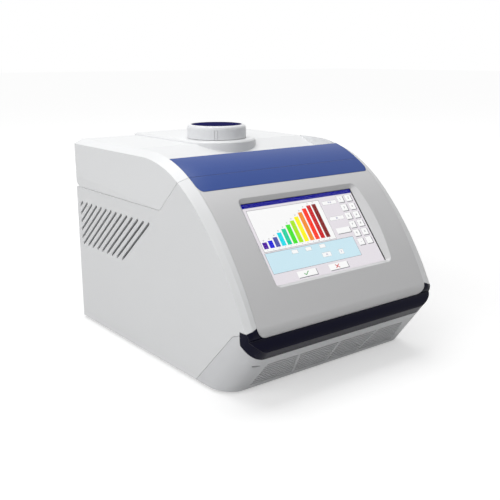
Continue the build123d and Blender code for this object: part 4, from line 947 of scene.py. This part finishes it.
    def build_keys(self) -> None:
        """Make the number pad, the wide keys and the fields for values."""
        keys = self.keys()
        raised = keys + list(self.buttons)
        shadows = [
            Panel(
                key.left + self.shadow.left,
                key.top + self.shadow.top,
                key.right + self.shadow.right,
                key.bottom + self.shadow.bottom,
            )
            for key in raised
        ]
        self.rectangles("picture_shadows", LIT_GREY, shadows, 2)
        self.rectangles("picture_keys", LIT_WHITE, raised, 3)
        self.rectangles("picture_fields", LIT_WHITE, list(self.values), 3)
        outlined = list(self.values) + keys
        outlines = [line for panel in outlined for line in self.frame_lines(panel)]
        self.strokes("picture_field_lines", LIT_GREY, outlines, self.key_line, 4)
        marks = [
            (mark, (key.left + key.right) / 2, (key.top + key.bottom) / 2)
            for mark, key in zip(self.key_marks, keys)
        ]
        self.numbers("key_numbers", LIT_INK, marks, self.digit_size)

    def build_signs(self) -> None:
        """Make the numbers in the fields, the tick and the cross."""
        shown = [
            ("95.0", 0.755, 0.136),
            ("30", 0.755, 0.349),
            ("12", 0.517, 0.768),
            ("5", 0.652, 0.77),
        ]
        self.numbers("field_numbers", LIT_NAVY, shown, self.digit_size * self.field_size)
        self.strokes("tick", LIT_GREEN, [list(self.tick)], self.sign_line, 4)
        strokes = [list(stroke) for stroke in self.cross]
        self.strokes("cross", LIT_RED, strokes, self.sign_line, 4)

    def build(self) -> None:
        """Make every field of the picture."""
        self.build_fields()
        self.build_bars()
        self.build_keys()
        self.build_signs()
        log.info("display picture: %d pieces", len(self.pieces))


@dataclass
class RearScrews:
    """Domed screws with a cross recess in the rear sheet.

    Attributes:
        radius: Radius of the head.
        height: Height of the head.
        dome: How much of the height is domed.
        recess: Half length of the cross recess.
        slot: Half width of the recess.
        sides: Number of steps round the head.
        dome_steps: Number of steps over the dome.
        turn_step: How far each cross is turned from the one before.
        mark_lift: Distance of the cross above the head.
    """

    radius: float = 3.1 * MM
    height: float = 1.5 * MM
    dome: float = 0.9 * MM
    recess: float = 1.7 * MM
    slot: float = 0.35 * MM
    sides: int = 32
    dome_steps: int = 6
    turn_step: float = 0.7
    mark_lift: float = 0.02 * MM

    def centres(self) -> list[Vector]:
        """Middle of each screw on the sheet, read from the frame.

        Returns:
            The points on the outer face of the sheet.
        """
        node = bpy.data.objects["rear_screws"]
        groups: list[list[Vector]] = []
        for vertex in node.data.vertices:
            for group in groups:
                if (group[0] - vertex.co).length < 3 * self.radius:
                    group.append(vertex.co.copy())
                    break
            else:
                groups.append([vertex.co.copy()])
        sheet = min(vertex.co.y for vertex in node.data.vertices)
        middles = []
        for group in groups:
            low_x, high_x = min(p.x for p in group), max(p.x for p in group)
            low_z, high_z = min(p.z for p in group), max(p.z for p in group)
            middles.append(Vector(((low_x + high_x) / 2, sheet, (low_z + high_z) / 2)))
        return middles

    def head(self, mesh: bmesh.types.BMesh, centre: Vector) -> None:
        """Add one domed head.

        Args:
            mesh: Mesh to add to.
            centre: Middle of the head on the sheet.
        """
        rings = []
        rise = self.height - self.dome
        profile = [(self.radius, 0.0), (self.radius, rise)]
        for step in range(1, self.dome_steps):
            angle = math.pi / 2 * step / self.dome_steps
            profile.append((self.radius * math.cos(angle), rise + self.dome * math.sin(angle)))
        for radius, out in profile:
            rings.append(
                [
                    mesh.verts.new(
                        centre
                        + Vector(
                            (
                                radius * math.cos(2 * math.pi * k / self.sides),
                                out,
                                radius * math.sin(2 * math.pi * k / self.sides),
                            )
                        )
                    )
                    for k in range(self.sides)
                ]
            )
        for lower, upper in zip(rings, rings[1:]):
            for k in range(self.sides):
                after = (k + 1) % self.sides
                mesh.faces.new((lower[k], upper[k], upper[after], lower[after]))
        mesh.faces.new(rings[-1])
        mesh.faces.new(list(reversed(rings[0])))

    def build(self) -> None:
        """Make the screws and put them in place of the plain ones."""
        mesh = bmesh.new()
        marks = bmesh.new()
        for index, centre in enumerate(self.centres()):
            turn = index * self.turn_step
            self.head(mesh, centre)
            for quarter in (0.0, math.pi / 2):
                along = Vector((math.cos(turn + quarter), 0, math.sin(turn + quarter)))
                side = Vector((-along.z, 0, along.x)) * self.slot
                along *= self.recess
                top = centre + Vector((0, self.height + self.mark_lift, 0))
                corners = (
                    top - along - side,
                    top - along + side,
                    top + along + side,
                    top + along - side,
                )
                marks.faces.new([marks.verts.new(corner) for corner in corners])
        heads = mesh_piece("screw_heads", mesh, ZINC.build())
        for polygon in heads.data.polygons:
            polygon.use_smooth = True
        cross = mesh_piece("screw_crosses", marks, BLACK_PLASTIC.build())
        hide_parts("rear_screws")
        for piece in (heads, cross):
            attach(piece, "base")
        log.info("rear screws: heads and crosses")


@dataclass
class Dresser:
    """Gives every node of the frame its finish.

    Attributes:
        nodes: Objects of the frame by name.
    """

    nodes: dict[str, bpy.types.Object]

    def build(self) -> None:
        """Put the finishes on."""
        for name, finish in NODE_FINISHES.items():
            node = self.nodes[name]
            node.data.materials.clear()
            node.data.materials.append(finish.build())
        glass = self.nodes["touch_glass"]
        glass.data.materials.clear()
        glass.data.materials.append(GlassFinish().build())
        log.info("finishes on %d nodes", len(NODE_FINISHES) + 1)


@dataclass(frozen=True)
class SoftBox:
    """One soft lamp.

    Attributes:
        name: Name of the lamp.
        place: Where it stands.
        size: Width and height.
        power: Its power in watts.
    """

    name: str
    place: Point
    size: tuple[float, float]
    power: float


@dataclass
class Studio:
    """Floor, light and camera.

    Attributes:
        eye: Place of the camera.
        yaw: Turn of the view from +Y towards +X.
        pitch: Fall of the view below the level.
        lens: Focal length on a 36 mm sensor.
        floor_size: Edge of the floor.
        sky: Strength of the surrounding light on the object.
        near: Distance from the object at which the floor starts to fade to white.
        far: Distance at which the floor is the colour of the background.
        near_lift: Light of its own that the floor shows near the object.
        far_lift: Light of its own that the floor shows far away.
        floor_drop: How far the floor lies under the feet.
        floor_tone: Darkest and lightest shade of the floor.
        floor_mottle: Scale of the floor's mottling.
        floor_roughness: Roughness of the floor.
        sensor: Width of the camera's sensor in millimetres.
        reach: Distance at which the camera stops to see.
        target: Point that the lamps point at.
        lamps: The soft lamps.
    """

    eye: Vector = field(default_factory=lambda: Vector((-0.5247, -0.6756, 0.3211)))
    yaw: float = math.radians(38.1)
    pitch: float = math.radians(14.4)
    lens: float = 54.22
    floor_size: float = 30.0
    sky: float = 0.28
    near: float = 0.35
    far: float = 1.6
    near_lift: float = 0.47
    far_lift: float = 0.8
    floor_drop: float = 0.0002
    floor_tone: tuple[float, float] = (0.61, 0.63)
    floor_mottle: float = 3.0
    floor_roughness: float = 0.9
    sensor: float = 36.0
    reach: float = 100.0
    target: Point = (0.0, 0.0, 0.12)
    lamps: tuple[SoftBox, ...] = (
        SoftBox("top_box", (0.0, 0.35, 1.6), (1.7, 1.2), 17.0),
        SoftBox("left_box", (-1.45, -0.6, 1.0), (1.2, 1.1), 13.5),
    )

    def camera(self) -> None:
        """Make the camera at the photograph's place."""
        data = bpy.data.cameras.new("camera")
        data.sensor_width = self.sensor
        data.lens = self.lens
        data.clip_end = self.reach
        eye = bpy.data.objects.new("camera", data)
        eye.location = self.eye
        eye.rotation_euler = (math.pi / 2 - self.pitch, 0.0, -self.yaw)
        bpy.context.scene.collection.objects.link(eye)
        bpy.context.scene.camera = eye

    def lamp(self, box: SoftBox) -> None:
        """Add one soft lamp.

        Args:
            box: Its name, place, size and power.
        """
        data = bpy.data.lights.new(box.name, "AREA")
        data.shape = "RECTANGLE"
        data.size, data.size_y = box.size
        data.energy = box.power
        lamp = bpy.data.objects.new(box.name, data)
        lamp.location = box.place
        aim = Vector(self.target) - Vector(box.place)
        lamp.rotation_euler = aim.to_track_quat("-Z", "Y").to_euler()
        bpy.context.scene.collection.objects.link(lamp)

    def seen(self, graph: Graph) -> bpy.types.Node:
        """Value that is 1 where the background is looked at, also by way of metal or glass.

        Args:
            graph: Graph of the material or the world.

        Returns:
            The node that puts the value out.
        """
        path = graph.add("LightPath")
        direct = graph.add("Math", operation="MAXIMUM")
        graph.join(path, "Is Camera Ray", direct, 0)
        graph.join(path, "Is Transmission Ray", direct, 1)
        either = graph.add("Math", operation="MAXIMUM")
        graph.join(direct, 0, either, 0)
        graph.join(path, "Is Glossy Ray", either, 1)
        return either

    def floor(self) -> None:
        """Make a pale floor that shows white to the camera and keeps the shadow."""
        mesh = bmesh.new()
        half = self.floor_size / 2
        corners = ((-half, -half, 0), (half, -half, 0), (half, half, 0), (-half, half, 0))
        mesh.faces.new([mesh.verts.new(corner) for corner in corners])
        material = bpy.data.materials.new("pale_floor")
        material.use_nodes = True
        graph = Graph(material.node_tree)
        shader = material.node_tree.nodes["Principled BSDF"]
        shader.inputs["Roughness"].default_value = self.floor_roughness
        shader.inputs["Specular IOR Level"].default_value = 0.0
        place = graph.add("TexCoord")
        mottle = graph.add("TexNoise")
        mottle.inputs["Scale"].default_value = self.floor_mottle
        graph.join(place, "Object", mottle, "Vector")
        tone = graph.add("MapRange")
        tone.inputs["To Min"].default_value = self.floor_tone[0]
        tone.inputs["To Max"].default_value = self.floor_tone[1]
        graph.join(mottle, "Fac", tone, "Value")
        colour = graph.add("CombineColor")
        for channel in range(3):
            graph.join(tone, "Result", colour, channel)
        graph.join(colour, "Color", shader, "Base Color")
        away = graph.add("VectorMath", operation="LENGTH")
        graph.join(place, "Object", away, 0)
        fade = graph.add("MapRange")
        for socket, value in (
            ("From Min", self.near),
            ("From Max", self.far),
            ("To Min", self.near_lift),
            ("To Max", self.far_lift),
        ):
            fade.inputs[socket].default_value = value
        graph.join(away, "Value", fade, "Value")
        lift = graph.add("Math", operation="MULTIPLY")
        graph.join(fade, "Result", lift, 0)
        graph.join(self.seen(graph), 0, lift, 1)
        shader.inputs["Emission Color"].default_value = OPAQUE_WHITE
        graph.join(lift, 0, shader, "Emission Strength")
        piece = mesh_piece("floor", mesh, material)
        piece.location.z = -self.floor_drop
        piece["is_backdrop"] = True

    def world(self) -> None:
        """Make the even surrounding light, white where the camera looks at it."""
        world = bpy.data.worlds.new("studio")
        bpy.context.scene.world = world
        world.use_nodes = True
        graph = Graph(world.node_tree)
        background = world.node_tree.nodes["Background"]
        background.inputs["Color"].default_value = OPAQUE_WHITE
        strength = graph.add("MapRange")
        strength.inputs["To Min"].default_value = self.sky
        strength.inputs["To Max"].default_value = 1.0
        graph.join(self.seen(graph), 0, strength, "Value")
        graph.join(strength, "Result", background, "Strength")

    def build(self) -> None:
        """Set up the studio."""
        self.camera()
        self.world()
        self.floor()
        for box in self.lamps:
            self.lamp(box)
        bpy.context.scene.view_settings.view_transform = "Standard"
        log.info("studio ready")


def write_bounds(label: str, lines: list[str]) -> None:
    """Note the size of the shown object.

    Args:
        label: When it was measured.
        lines: List that the line is added to.
    """
    low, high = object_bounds()
    size = [round(high[axis] - low[axis], 4) for axis in range(3)]
    lines.append(f"{label}: {size}")


def main() -> None:
    """Dress the thermal cycler and set up its studio."""
    logging.basicConfig(level=logging.INFO, format="%(name)s: %(message)s")
    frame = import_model()
    sizes: list[str] = []
    write_bounds("frame", sizes)
    Dresser(frame["nodes"]).build()
    DisplayPicture().build()
    RearScrews().build()
    Studio().build()
    write_bounds("dressed", sizes)
    "\n".join(sizes) + "\n"


if __name__ == "__main__":
    main()
